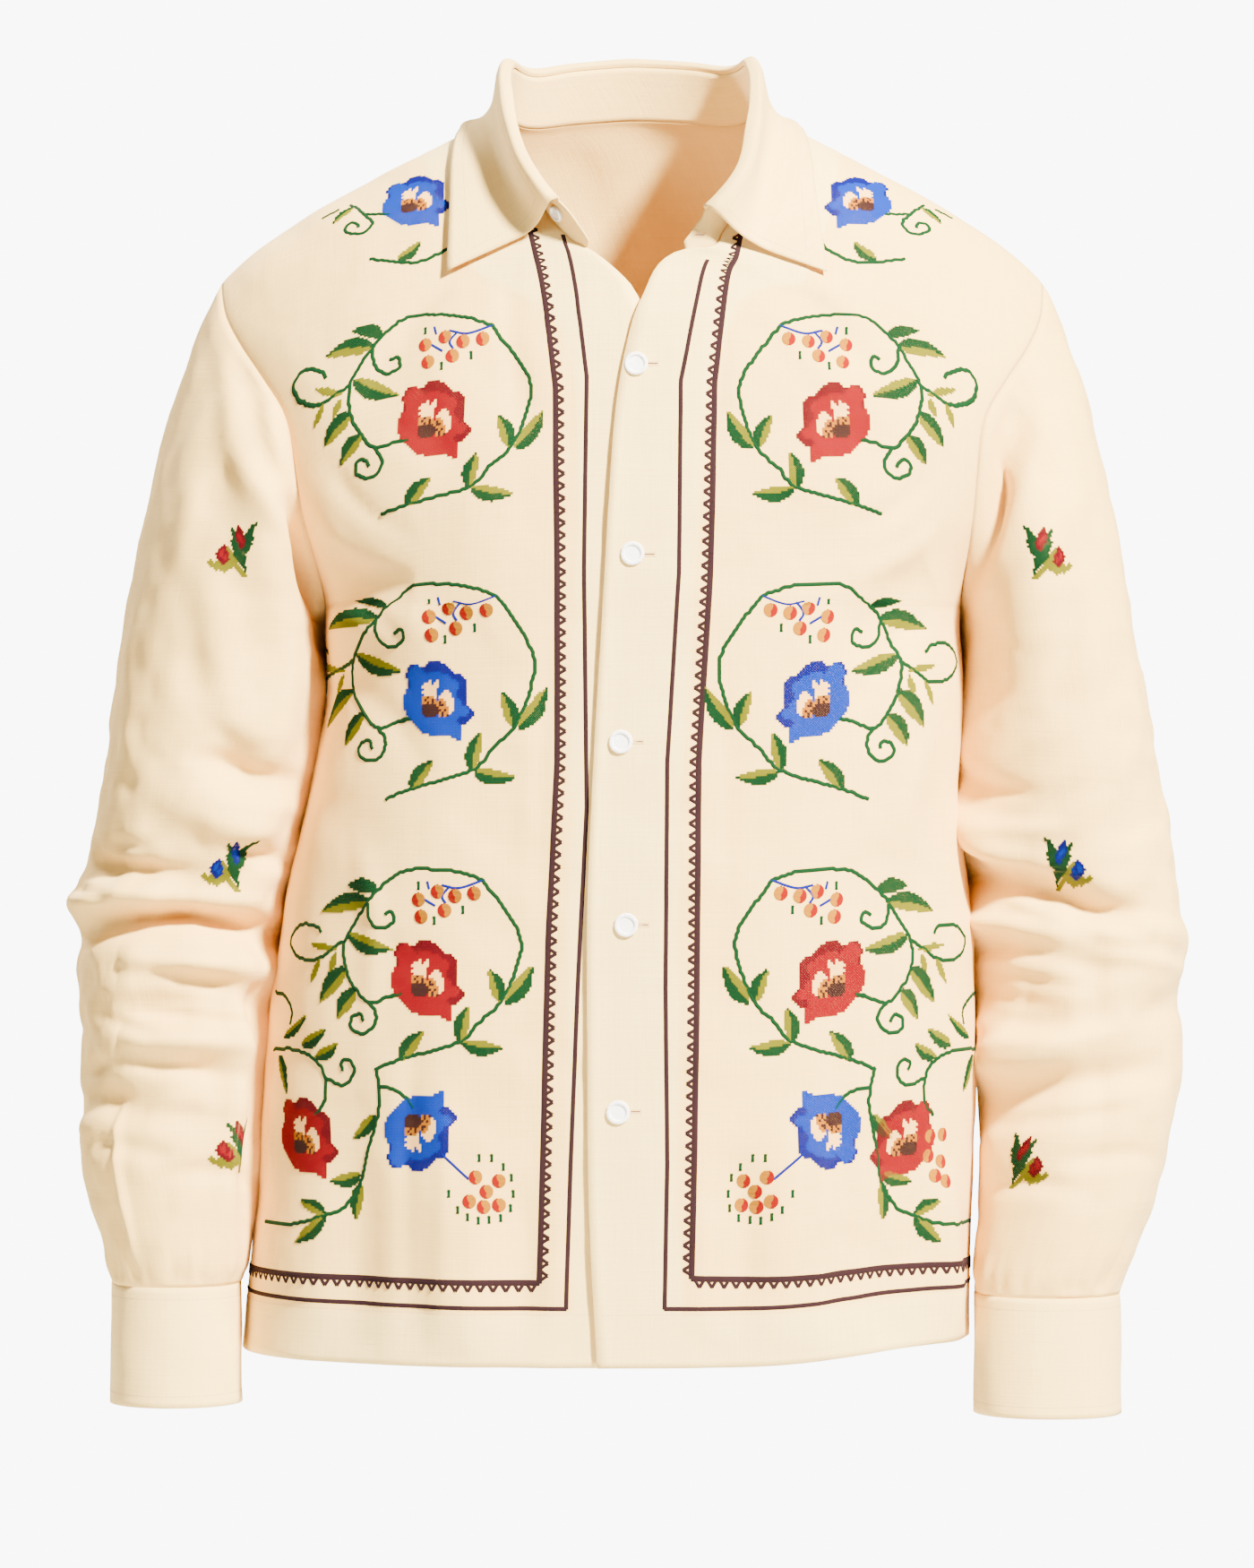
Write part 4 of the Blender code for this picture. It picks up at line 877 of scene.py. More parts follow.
class Cloth:
    """A cut piece: its grid of points in space, and the same grid as it lies flat."""

    def __init__(self, name, points, closed=False, seams=(), start_x=0.0):
        self.name = name
        self.closed = closed
        self.points = points
        self.normals = grid_normals(points, closed)
        across = np.linalg.norm(np.diff(points, axis=1), axis=-1)
        down = np.linalg.norm(np.diff(points, axis=0), axis=-1)
        rows, columns = points.shape[:2]
        self.flat = np.zeros((rows, columns, 2))
        self.flat[:, 1:, 0] = np.cumsum(across, axis=1)
        self.flat[1:, :, 1] = np.cumsum(down, axis=0)
        if closed:
            self.flat[..., 0] -= self.flat[:, columns // 4, 0][:, None]
            self.flat[..., 1] -= self.flat[-1, :, 1]
        self.flat[..., 0] += np.reshape(start_x, (-1, 1))
        self.from_seam = edge_distance(points, seams)

    def face_away(self, centre):
        if np.sum(self.normals * (self.points - centre)) < 0:
            self.normals = -self.normals

    def move_out(self, distance):
        before = self.normals
        self.points = self.points + before * distance[..., None]
        turned = grid_normals(self.points, self.closed)
        self.normals = turned if np.sum(turned * before) > 0 else -turned

    def groove(self):
        """How far the cloth rises away from its seams."""
        return SEAM_GROOVE * (1 - np.exp(-((self.from_seam / GROOVE_WIDTH) ** 2)))

    def folded(self, lift):
        """Folds that fade towards the seams, with the cloth a little raised beside each seam."""
        self.move_out(lift * fade(self.from_seam / SEAM_FADE) + self.groove())

    def build(self, material, tone):
        """The cloth as an object: its outer face as a grid, thickened inward."""
        rows, columns = self.points.shape[:2]
        last = columns if self.closed else columns - 1
        r, c = np.meshgrid(np.arange(rows - 1), np.arange(last), indexing="ij")
        around = (c + 1) % columns
        corners = np.stack([
            r * columns + c, r * columns + around, (r + 1) * columns + around, (r + 1) * columns + c,
        ], axis=-1).reshape(-1, 4)
        a, b, d = self.points.reshape(-1, 3)[corners[:, [0, 1, 3]]].transpose(1, 0, 2)
        facing = np.cross(b - a, d - a) * self.normals.reshape(-1, 3)[corners[:, 0]]
        if facing.sum() < 0:
            corners = corners[:, ::-1]
        tones = np.broadcast_to(tone, (rows, columns))
        mesh = make_mesh(self.name, self.points, corners, material, ("tone", "FLOAT", "value"), tones)
        self.map_flat(mesh, corners, columns)
        item = add_object(self.name, mesh)
        wall = item.modifiers.new("Wall", "SOLIDIFY")
        wall.thickness = CLOTH_THICKNESS * MM
        wall.offset = -1.0
        bpy.context.view_layer.objects.active = item
        bpy.ops.object.modifier_apply(modifier=wall.name)
        return item

    def map_flat(self, mesh, corners, columns):
        """The flat lie of the cloth as texture coordinates, in metres."""
        spots = self.flat.reshape(-1, 2)[corners]
        if self.closed:
            size = np.linalg.norm(self.points[:, 0] - self.points[:, -1], axis=1)
            wrapped = (corners % columns == 0) & (corners % columns).any(axis=1)[:, None]
            wrapped &= (corners % columns == columns - 1).any(axis=1)[:, None]
            row = corners // columns
            spots[..., 0] = np.where(wrapped, self.flat[row, -1, 0] + size[row], spots[..., 0])
        layer = mesh.uv_layers.new(name="flat")
        layer.data.foreach_set("uv", (spots * MM).astype(np.float32).ravel())

    def cut(self):
        """Width, length and area of the cut piece in metres."""
        points = self.points
        if self.closed:
            points = np.concatenate([points, points[:, :1]], axis=1)
        a, b, c, d = points[:-1, :-1], points[:-1, 1:], points[1:, 1:], points[1:, :-1]
        area = np.linalg.norm(np.cross(c - a, d - b), axis=-1).sum() / 2 * MM * MM
        across = np.linalg.norm(np.diff(points, axis=1), axis=-1).sum(axis=1).max() * MM
        down = np.linalg.norm(np.diff(points, axis=0), axis=-1).sum(axis=0).max() * MM
        return float(across), float(down), float(area)


def front_lap(points, side):
    """How far a front moves out from the shared surface near the opening, where the two lap."""
    edge = curve(FRONT_EDGES[1], row_levels())[:, 0]
    reach = np.abs(points[:, :, 0] - edge[:, None])
    return side * LAP_OFFSET * (1 - fade((reach - LAP_FADE * 0.9) / LAP_FADE))


def hem_layer(points, softness):
    """1 on the hem's second layer and 0 above it."""
    return fade((points[:, :, 2] - points[:1, :, 2] - HEM_DEPTH) / -softness)


def make_front(side):
    points = front_points(side)
    sewn = [points[:, -1], points[-1], points[NECK_ROW:, 0]]
    name = "cloth_front_" + SIDE_NAMES[side]
    cloth = Cloth(name, points, seams=sewn, start_x=side * points[:, 0, 0])
    cloth.face_away(TORSO_MIDDLE)
    lift = FRONT_FOLD_DEPTH * sum(
        fold_height(points, path_on_torso(fold, False), *fold[6:]) for fold in FRONT_FOLDS
    )
    from_opening = np.abs(points[:, :, 0] - points[:, :1, 0])
    calm = mix(FACING_CALM, 1.0, fade((from_opening - FACING_WIDTH * 0.7) / 30.0))
    lift = (lift + ripple(points, 11 + side, FRONT_WAVES)) * calm + ripple(points, 21 + side, SMALL_WAVES)
    cloth.folded(lift)
    lap = front_lap(points, side) * fade(edge_distance(points, sewn[1:]) / SEAM_FADE)
    if side > 0:
        lap = lap + EDGE_CURL * fade(1 - from_opening / EDGE_CURL_WIDTH)
    step = np.maximum(fade((from_opening - FACING_WIDTH) / -2.5), hem_layer(points, 3.0))
    cloth.move_out(lap + LAYER_STEP * step * fade(cloth.from_seam / LAYER_FADE))
    return cloth, np.maximum(fade((from_opening - FACING_WIDTH) / -2.0), hem_layer(points, 2.5))


def make_back():
    points = back_points()
    cloth = Cloth("cloth_back", points, seams=[points[:, 0], points[:, -1], points[-1]])
    cloth.face_away(TORSO_MIDDLE)
    lift = BACK_FOLD_DEPTH * sum(
        fold_height(points, path_on_torso(fold, True), *fold[6:]) for fold in BACK_FOLDS
    )
    cloth.folded(lift + ripple(points, 31, BACK_WAVES) + ripple(points, 32, SMALL_WAVES))
    hem = hem_layer(points, 2.5)
    cloth.move_out(LAYER_STEP * hem * fade(cloth.from_seam / LAYER_FADE))
    return cloth, hem


def cuff_gathers(points, turn, cuff_z, seed):
    """Small upright pleats where the sleeve is gathered into its cuff."""
    random = np.random.default_rng(seed)
    height = points[:, :, 2] - cuff_z
    lift = np.zeros(points.shape[:2])
    for centre in np.arange(12.0, 360.0, GATHER_PITCH):
        centre += random.uniform(-5.0, 5.0)
        length = random.uniform(*GATHER_LENGTHS)
        depth = random.uniform(*GATHER_DEPTHS)
        lean = random.uniform(-0.12, 0.12)
        degrees = np.degrees(turn)[None] - centre - lean * height
        away = (degrees + 180.0) % 360.0 - 180.0
        rise = np.exp(-((away / random.uniform(*GATHER_WIDTHS)) ** 2))
        lift -= depth * rise * fade(1 - height / length) * fade((height - 1.0) / 5.0)
    return lift


def frame_spot(x, z, near):
    """Column and row of the frame for a place; near is its distance as a share of the middle's."""
    size = PIXEL * near
    return CENTRE_COLUMN + x / size, CENTRE_ROW - (z - CAMERA_HEIGHT / MM) / size


def seen_path(points, spots):
    """The places on a sleeve's front that the camera sees at these columns and rows."""
    near = 1 + points[:, :, 1] / CAMERA_DISTANCE * MM
    column, row = frame_spot(points[:, :, 0], points[:, :, 2], near)
    behind = 1e6 * (points[:, :, 1] > points[:, :, 1].mean())
    places = [np.argmin((column - x) ** 2 + (row - y) ** 2 + behind) for x, y in spots]
    return points.reshape(-1, 3)[places]


def make_sleeve(side, front, back):
    sections, seed = SLEEVE_SECTIONS[side], SLEEVE_SEEDS[side]
    points, turn = sleeve_points(sections, armhole_ring(front, back, side))
    cloth = Cloth("cloth_sleeve_" + SIDE_NAMES[side], points, closed=True, seams=[points[0], points[-1]])
    cloth.face_away(points.mean(axis=1, keepdims=True))
    lift = SLEEVE_FOLD_DEPTH * sum(
        fold_height(points, path_on_sleeve(fold, points, turn), *fold[6:])
        for fold in SLEEVE_FOLDS[side]
    )
    lift = lift + sum(
        fold_height(points, seen_path(points, spots), *size) for spots, *size in ARMHOLE_FOLDS[side]
    )
    lift = lift * (1 - OUTER_CALM * np.maximum(np.cos(turn), 0.0)[None] ** 2)
    elbow = np.exp(-(((points[:, :, 2] - ELBOW_Z) / 120.0) ** 2))
    lift = lift + (0.7 + 1.1 * elbow) * ripple(points, seed, SLEEVE_WAVES)
    lift = lift + ripple(points, seed + 1, SMALL_SLEEVE_WAVES)
    lift = lift * fade(cloth.from_seam / SLEEVE_SEAM_FADE)
    lift = lift + cuff_gathers(points, turn, sections[0][0], seed + 2)
    cloth.move_out(lift + cloth.groove())
    return cloth


def make_cuff(side):
    points = cuff_points(side)
    cloth = Cloth("cloth_cuff_" + SIDE_NAMES[side], points)
    cloth.face_away(points.mean(axis=1, keepdims=True))
    cloth.move_out(ripple(points, 61 + side, CUFF_WAVES) + 0.25)
    return cloth


class Value:
    """A number or colour in a material's node tree that takes part in arithmetic."""

    def __init__(self, tree, socket):
        self.tree = tree
        self.socket = socket

    def math(self, operation, *others):
        inputs = dict(enumerate((self, *others)))
        return self.tree.node("ShaderNodeMath", {"operation": operation}, inputs)

    def __add__(self, other):
        return self.math("ADD", other)

    def __sub__(self, other):
        return self.math("SUBTRACT", other)

    def __mul__(self, other):
        return self.math("MULTIPLY", other)

    def sine(self):
        return self.math("SINE")


class Material:
    """A material whose nodes are made by one call each."""

    def __init__(self, name):
        self.material = bpy.data.materials.new(name)
        self.material.use_nodes = True
        self.nodes = self.material.node_tree.nodes
        self.links = self.material.node_tree.links
        self.shader = self.nodes["Principled BSDF"]

    def plug(self, socket, value):
        if isinstance(value, Value):
            self.links.new(value.socket, socket)
        else:
            socket.default_value = value

    def node(self, kind, settings, inputs, output=0):
        made = self.nodes.new(kind)
        for name, value in settings.items():
            setattr(made, name, value)
        for name, value in inputs.items():
            self.plug(made.inputs[name], value)
        return Value(self, made.outputs[output])

    def set(self, **inputs):
        for name, value in inputs.items():
            self.plug(self.shader.inputs[name.replace("_", " ")], value)

    def place(self):
        return self.node("ShaderNodeTexCoord", {}, {}, output=3)

    def noise(self, vector, scale, detail=2.0):
        return self.node("ShaderNodeTexNoise", {}, {"Vector": vector, "Scale": scale, "Detail": detail})

    def stretched_noise(self, vector, scale, detail):
        inputs = {"Vector": vector, "Scale": scale}
        return self.noise(self.node("ShaderNodeMapping", {"vector_type": "POINT"}, inputs), 1.0, detail)

    def clamp(self, value):
        return self.node("ShaderNodeClamp", {}, {0: value})

    def blend(self, share, first, second):
        inputs = {0: share, 6: first, 7: second}
        return self.node("ShaderNodeMix", {"data_type": "RGBA"}, inputs, output=2)

    def bump(self, height, distance, strength):
        inputs = {"Height": height, "Distance": distance, "Strength": strength}
        return self.node("ShaderNodeBump", {}, inputs)


def linear(red, green, blue):
    """A screen colour as linear light."""
    shares = [value / 255 for value in (red, green, blue)]
    return tuple(s / 12.92 if s <= 0.04045 else ((s + 0.055) / 1.055) ** 2.4 for s in shares) + (1.0,)


def cloth_material():
    """Plain-weave cream cotton with uneven threads; double layers are lighter."""
    cloth = Material("cream_cotton")
    flat = cloth.node("ShaderNodeUVMap", {"uv_map": "flat"}, {})
    tone = cloth.node("ShaderNodeAttribute", {"attribute_name": "tone"}, {}, output=2)

    def both_ways(across, along, detail):
        """Noise drawn out along the upright threads and, as much, along the level ones."""
        scales = ((across, along, 1.0), (along, across, 1.0))
        upright, level = (cloth.stretched_noise(flat, scale, detail) for scale in scales)
        return (upright + level) * 0.5

    threads, slubs = both_ways(1500.0, 34.0, 3.0), both_ways(520.0, 22.0, 1.0)
    cloud = cloth.stretched_noise(flat, (16.0, 13.0, 1.0), 3.0)
    across = cloth.node("ShaderNodeSeparateXYZ", {}, {0: flat})
    down = Value(cloth, across.socket.node.outputs[1])
    turns = 2 * math.pi / WEAVE_PITCH
    weave = (across * turns).sine() * (down * turns).sine()
    shade = (threads - 0.5) * 0.34 + (slubs - 0.5) * 0.30 + (cloud - 0.5) * 0.12 + weave * 0.02
    colour = cloth.blend(tone, linear(*COTTON), linear(*COTTON_DOUBLE))
    colour = cloth.blend(cloth.clamp(shade + 0.5), linear(*DARK_COTTON), colour)
    light = cloth.blend(tone, linear(*LIGHT_COTTON), linear(*LIGHT_DOUBLE))
    cloth.set(
        Base_Color=cloth.blend(cloth.clamp(shade + 0.32), colour, light), Roughness=0.9,
        Sheen_Weight=0.08, Sheen_Roughness=0.45, Specular_IOR_Level=0.15,
        Normal=cloth.bump(weave * 0.25 + threads * 0.9 + slubs * 1.1, 0.00026, 0.85),
    )
    return cloth.material


def thread_material():
    """Stranded cotton in the colour of each stitch."""
    thread = Material("stranded_cotton")
    colour = thread.node("ShaderNodeAttribute", {"attribute_name": "thread"}, {})
    fine, broad = thread.noise(thread.place(), 2600.0), thread.noise(thread.place(), 90.0)
    dark = thread.node("ShaderNodeVectorMath", {"operation": "SCALE"}, {0: colour, "Scale": 0.68})
    share = thread.clamp(fine * 0.9 + broad * 0.5 - 0.05)
    thread.set(
        Base_Color=thread.blend(share, dark, colour), Roughness=0.8, Sheen_Weight=0.02,
        Sheen_Roughness=0.4, Specular_IOR_Level=0.06, Normal=thread.bump(fine, 0.0002, 0.5),
    )
    return thread.material


def button_material():
    """Milky polished shell with faint clouds."""
    shell = Material("milky_button")
    cloud = shell.stretched_noise(shell.place(), (240.0, 240.0, 700.0), 3.0)
    grain = shell.noise(shell.place(), 1800.0)
    shell.set(
        Base_Color=shell.blend(cloud, linear(232, 222, 205), linear(255, 252, 246)),
        Roughness=grain * 0.12 + 0.2, Coat_Weight=0.5, Coat_Roughness=0.12,
        Subsurface_Weight=0.12, Subsurface_Scale=0.002, Normal=shell.bump(cloud, 0.0001, 0.3),
    )
    return shell.material


def floor_material():
    pale = Material("pale_floor")
    grain = pale.noise(pale.place(), 60.0, 3.0)
    pale.set(
        Base_Color=pale.blend(grain, linear(244, 244, 242), linear(250, 250, 249)),
        Roughness=0.9, Specular_IOR_Level=0.2,
    )
    return pale.material


def add_light(name, place, size, power, colour):
    light = bpy.data.lights.new(name, "AREA")
    light.shape = "DISK"
    light.size = size
    light.energy = power
    light.color = colour
    item = add_object(name, light)
    item.location = place
    item.rotation_euler = (Vector(LIGHT_TARGET) - Vector(place)).to_track_quat("-Z", "Y").to_euler()


def make_stage():
    """Camera, light and floor."""
    camera = bpy.data.cameras.new("camera")
    camera.sensor_fit = "VERTICAL"
    camera.sensor_height = 36.0
    camera.lens = camera.sensor_height * CAMERA_DISTANCE / VIEW_HEIGHT
    item = add_object("camera", camera)
    item.location = (0.0, -CAMERA_DISTANCE, CAMERA_HEIGHT)
    item.rotation_euler = (math.pi / 2, 0.0, 0.0)
    bpy.context.scene.camera = item
    for light in LIGHTS:
        add_light(*light)
    world = bpy.data.worlds.new("pale_studio")
    world.use_nodes = True
    tree = world.node_tree
    background = tree.nodes["Background"]
    background.inputs["Color"].default_value = (1.0, 1.0, 1.0, 1.0)
    ray = tree.nodes.new("ShaderNodeLightPath")
    strength = tree.nodes.new("ShaderNodeMapRange")
    for end, value in zip(("To Min", "To Max"), WORLD_STRENGTHS):
        strength.inputs[end].default_value = value
    tree.links.new(ray.outputs["Is Camera Ray"], strength.inputs["Value"])
    tree.links.new(strength.outputs[0], background.inputs["Strength"])
    bpy.context.scene.world = world
    bpy.ops.mesh.primitive_circle_add(vertices=96, radius=1.25, fill_type="NGON", location=(0, 0, -1.2))
    floor = bpy.context.object
    floor.name = "floor"
    floor.data.materials.append(floor_material())


class Surface:
    """A cloth's outer face, to be met from the camera or by its flat lie."""

    def __init__(self, cloth):
        rows, columns = cloth.points.shape[:2]
        r, c = np.meshgrid(np.arange(rows - 1), np.arange(columns - 1), indexing="ij")
        first = (r * columns + c).ravel()
        upper = np.stack([first, first + 1, first + columns + 1], axis=1)
        lower = np.stack([first, first + columns + 1, first + columns], axis=1)
        self.triangles = np.concatenate([upper, lower])
        self.points = cloth.points.reshape(-1, 3)
        self.normals = cloth.normals.reshape(-1, 3)
        self.flat = np.column_stack([cloth.flat.reshape(-1, 2), np.zeros(rows * columns)])
        faces = self.triangles.tolist()
        self.in_space = BVHTree.FromPolygons(self.points.tolist(), faces)
        self.laid_flat = BVHTree.FromPolygons(self.flat.tolist(), faces)

    def shares(self, corners, spots):
        """How much each corner of a triangle counts at a spot in it."""
        a, b, c = corners[:, 0], corners[:, 1], corners[:, 2]
        ab, ac, ap = b - a, c - a, spots - a
        bb, bc, cc = (np.sum(m * n, axis=1) for m, n in ((ab, ab), (ab, ac), (ac, ac)))
        pb, pc = np.sum(ap * ab, axis=1), np.sum(ap * ac, axis=1)
        area = np.maximum(bb * cc - bc * bc, 1e-9)
        second, third = (cc * pb - bc * pc) / area, (bb * pc - bc * pb) / area
        return np.stack([1 - second - third, second, third], axis=1)

    def seen_at(self, column, row):
        """The flat place that the camera sees at a pixel of the 1400 by 1750 frame."""
        across, up = (column - CENTRE_COLUMN) * PIXEL, (CENTRE_ROW - row) * PIXEL
        way = Vector((across, CAMERA_DISTANCE / MM, up)).normalized()
        start = Vector((0.0, -CAMERA_DISTANCE / MM, CAMERA_HEIGHT / MM))
        hit, _, index, _ = self.in_space.ray_cast(start, way)
        if hit is None:
            hit, _, index, _ = self.in_space.find_nearest(start + way * CAMERA_DISTANCE / MM)
        corners = self.triangles[[index]]
        share = self.shares(self.points[corners], np.array([hit]))
        return (share[:, :, None] * self.flat[corners]).sum(axis=1)[0, :2]

    def laid(self, spots, lift):
        """Points over the cloth for flat places, and which of them lie on the cloth."""
        down = Vector((0.0, 0.0, -1.0))
        index = np.array([
            -1 if found is None else found
            for found in (self.laid_flat.ray_cast(Vector((x, y, 1.0)), down)[2] for x, y in spots)
        ])
        corners = self.triangles[np.maximum(index, 0)]
        share = self.shares(self.flat[corners], np.column_stack([spots, np.zeros(len(spots))]))
        points = (share[:, :, None] * self.points[corners]).sum(axis=1)
        normals = (share[:, :, None] * self.normals[corners]).sum(axis=1)
        normals /= np.linalg.norm(normals, axis=1)[:, None]
        return points + normals * np.asarray(lift)[:, None], index >= 0


class Stitches:
    """Threads laid over one piece of cloth, each a low ridge between two flat places."""

    def __init__(self, surface):
        self.surface = surface
        self.legs = []

    def leg(self, start, end, width, colour, rise=0.6):
        self.legs.append((*start, *end, width, rise, *colour))

    def cross(self, x, y, size, colour):
        half = size * 0.5
        self.leg((x - half, y - half), (x + half, y + half), size * 0.62, colour, 0.34)
        self.leg((x - half, y + half), (x + half, y - half), size * 0.62, colour, 0.46)

    def build(self, name, material):
        rows = np.array(self.legs)
        start, end, width, rise, colour = np.split(rows, (2, 4, 5, 6), axis=1)
        way = end - start
        side = np.column_stack([-way[:, 1], way[:, 0]])
        side = side / np.maximum(np.linalg.norm(way, axis=1), 1e-6)[:, None] * width / 2
        spots = np.stack([start + side, start, start - side, end + side, end, end - side], axis=1)
        low = np.full((len(rows), 1), THREAD_EDGE)
        lift = np.hstack([low, rise, low, low, rise, low])
        points, found = self.surface.laid(spots.reshape(-1, 2), lift.ravel())
        whole = found.reshape(-1, 6).all(axis=1)
        points = points.reshape(-1, 6, 3)[whole]
        first = np.arange(len(points))[:, None] * 6
        faces = np.concatenate([first + [0, 1, 4, 3], first + [1, 2, 5, 4]])
        a, b, c = points[0, 0], points[0, 1], points[0, 4]
        outward = self.surface.laid(spots[whole][:1, 1], np.array([1.0]))[0][0] - points[0, 1]
        if np.dot(np.cross(b - a, c - b), outward) < 0:
            faces = faces[:, ::-1]
        shades = np.repeat(np.column_stack([colour[whole], np.ones(len(points))]), 6, axis=0)
        looks = ("thread", "FLOAT_COLOR", "color")
        return add_object(name, make_mesh(name, points, faces, material, looks, shades))


def chain(stitches, points, colour, width, step, grid=CHAIN_GRID, smooth=True):
    """A line of back stitches whose ends keep to the cloth's own grid of threads."""
    line = np.asarray(points, float)
    if smooth and len(line) > 2:
        places = np.arange(len(line), dtype=float)
        line = curve(np.column_stack([places, line]), np.linspace(0, places[-1], 12 * len(line)))
    length = ways(line)[-1]
    line = spots_along(line, np.linspace(0, length, max(int(round(length / step)), 1) + 1))
    if grid:
        line = np.round(line / grid) * grid
    for start, end in zip(line[:-1], line[1:]):
        if np.linalg.norm(end - start) > 0.1:
            reach = (end - start) * 0.12
            stitches.leg(start - reach, end + reach, width, colour)


def fill(stitches, low, high, size, shade):
    """Crosses on a grid wherever shade, a function of the flat place, gives a colour."""
    across = np.arange(math.floor(low[0] / size), math.ceil(high[0] / size) + 1) * size
    along = np.arange(math.floor(low[1] / size), math.ceil(high[1] / size) + 1) * size
    for y in along:
        for x in across:
            colour = shade(x, y)
            if colour is not None:
                stitches.cross(x, y, size, colour)


GREEN = (0.0025, 0.030, 0.007)
DARK_GREEN = (0.002, 0.028, 0.006)
OLIVE = (0.13, 0.115, 0.002)
STEM = (0.005, 0.008, 0.13)
BERRY = (0.36, 0.13, 0.0002)
BERRY_SHADE = (0.24, 0.004, 0.0006)
PETAL_CREAM = (0.85, 0.46, 0.13)
STAMEN = (0.32, 0.095, 0.0002)
HEART = (0.024, 0.007, 0.005)
BROWN = (0.022, 0.008, 0.008)
REDS = ((0.165, 0.0001, 0.003), (0.08, 0.0002, 0.003))
BLUES = ((0.0015, 0.020, 0.19), (0.002, 0.003, 0.085))
CREAM_THREAD = (0.80, 0.50, 0.20)
# painted shade: the dark brown laid along a buttonhole's slit stands in for the shadow in the opening
PAINTED_SLIT_SHADE = (0.09, 0.035, 0.012)
LEAF_STITCH = 1.25
LEAF_BEND = 0.06       # how far a leaf's rib bows, as a share of its length
LEAF_SHARE = 0.62      # millimetres of a leaf's width for each pixel of its table
FLOWER_STITCH = 1.5
POPPY_RADIUS = 21.5
SPRIG_STITCH = 1.22
LINE_WIDTH, LINE_STEP = 2.3, 1.9
STEM_WIDTH, STEM_STEP = 1.5, 1.6
BORDER_STEP = 2.2
# Berry radius and height of the dashes round the berries.
WREATH_BERRY, WREATH_DASH = 3.9, 4.4
CLUSTER_BERRY, CLUSTER_DASH = 3.8, 4.0
PICOT_PITCH, PICOT_WIDTH, PICOT_HEIGHT = 6.9, 4.6, 3.9
TOPSTITCH_STEP = 2.5
THREAD_EDGE = 0.04     # a thread's sides lie this far over the cloth

# A poppy's outline: degrees from its right, share of its radius.
POPPY = (
    (0, 0.78), (12, 0.80), (29, 0.92), (44, 0.90), (54, 0.82), (68, 0.88), (90, 1.02), (106, 1.00),
    (115, 0.88), (122, 1.14), (133, 1.22), (144, 1.16), (153, 0.94), (163, 0.96), (178, 1.02),
    (192, 1.04), (206, 0.95), (222, 0.93), (246, 0.96), (266, 0.92), (284, 0.95), (295, 1.10),
    (301, 1.28), (308, 1.04), (317, 0.96), (331, 1.08), (342, 1.05), (350, 0.82), (360, 0.78),
)
# Its middle, one letter a stitch: cream, orange and brown.
POPPY_MIDDLE = (
    "................",
    ".....c..c.......",
    "...ccc.cc.......",
    "..ccccccc.......",
    "...ccccc........",
    "..cccccc...cc...",
    "...ccccc..cccc..",
    "..oobooc.ccccc..",
    "..oboobo.oocccc.",
    "..ooboboobooccc.",
    "..bbbbbbobboccc.",
    "..bbbbbbboooocc.",
    "..bbbbbbbbobocc.",
    "..bbbbbbbobooc..",
    "...bbbbb.obob...",
    "................",
)
MIDDLE_LEFT, MIDDLE_TOP = -0.57, 0.56    # where the chart starts, as shares of the radius


def blade(stitches, base, tip, width, colour_at):
    """Crosses of the colour that colour_at gives for the share of the way and the distance off it."""
    way = tip - base
    length = max(float(np.linalg.norm(way)), 1.0)
    along, across = way / length, np.array([-way[1], way[0]]) / length

    def shade(x, y):
        spot = np.array([x, y]) - base
        return colour_at(float(spot @ along) / length, float(spot @ across), length)

    reach = np.array([width, width])
    fill(stitches, np.minimum(base, tip) - reach, np.maximum(base, tip) + reach, LEAF_STITCH, shade)


def leaf(stitches, base, tip, width, dark_side):
    """A pointed leaf, dark on one side of its rib and olive on the other."""

    def colour_at(share, off, length):
        if not -0.02 < share < 1.02:
            return None
        off = off * (dark_side or 1) - LEAF_BEND * length * math.sin(math.pi * share)
        half = width / 2 * math.sin(math.pi * min(max(share, 0.0), 1.0) ** 0.8) ** 0.8 + 0.25
        if abs(off) > half:
            return None
        return DARK_GREEN if not dark_side or off > -0.12 * width * (1 - share) else OLIVE

    blade(stitches, base, tip, width, colour_at)


def poppy(stitches, centre, colours, flip):
    """An open poppy: bright petals with a deep rim, and a charted middle."""
    bright, deep = colours
    outline = np.array(POPPY, float)
    cell = FLOWER_STITCH / POPPY_RADIUS
    threads = {"c": PETAL_CREAM, "o": STAMEN, "b": HEART}
    middle = np.round(np.asarray(centre) / FLOWER_STITCH) * FLOWER_STITCH

    def shade(x, y):
        dx, dy = (np.array([x, y]) - middle) * flip / POPPY_RADIUS
        column, row = int(round((dx - MIDDLE_LEFT) / cell)), int(round((MIDDLE_TOP - dy) / cell))
        if 0 <= row < len(POPPY_MIDDLE) and 0 <= column < len(POPPY_MIDDLE[0]):
            if POPPY_MIDDLE[row][column] in threads:
                return threads[POPPY_MIDDLE[row][column]]
        turn = math.degrees(math.atan2(dy, dx)) % 360.0
        rim = float(np.interp(turn, outline[:, 0], outline[:, 1])) - math.hypot(dx, dy)
        if rim < 0:
            return None
        shaded = 0.27 if turn < 112 or turn > 312 else 0.10 if turn < 160 else 0.0
        return deep if rim < shaded * (0.75 + 0.25 * math.sin(5 * math.radians(turn))) else bright

    reach = POPPY_RADIUS * 1.35
    fill(stitches, middle - reach, middle + reach, FLOWER_STITCH, shade)


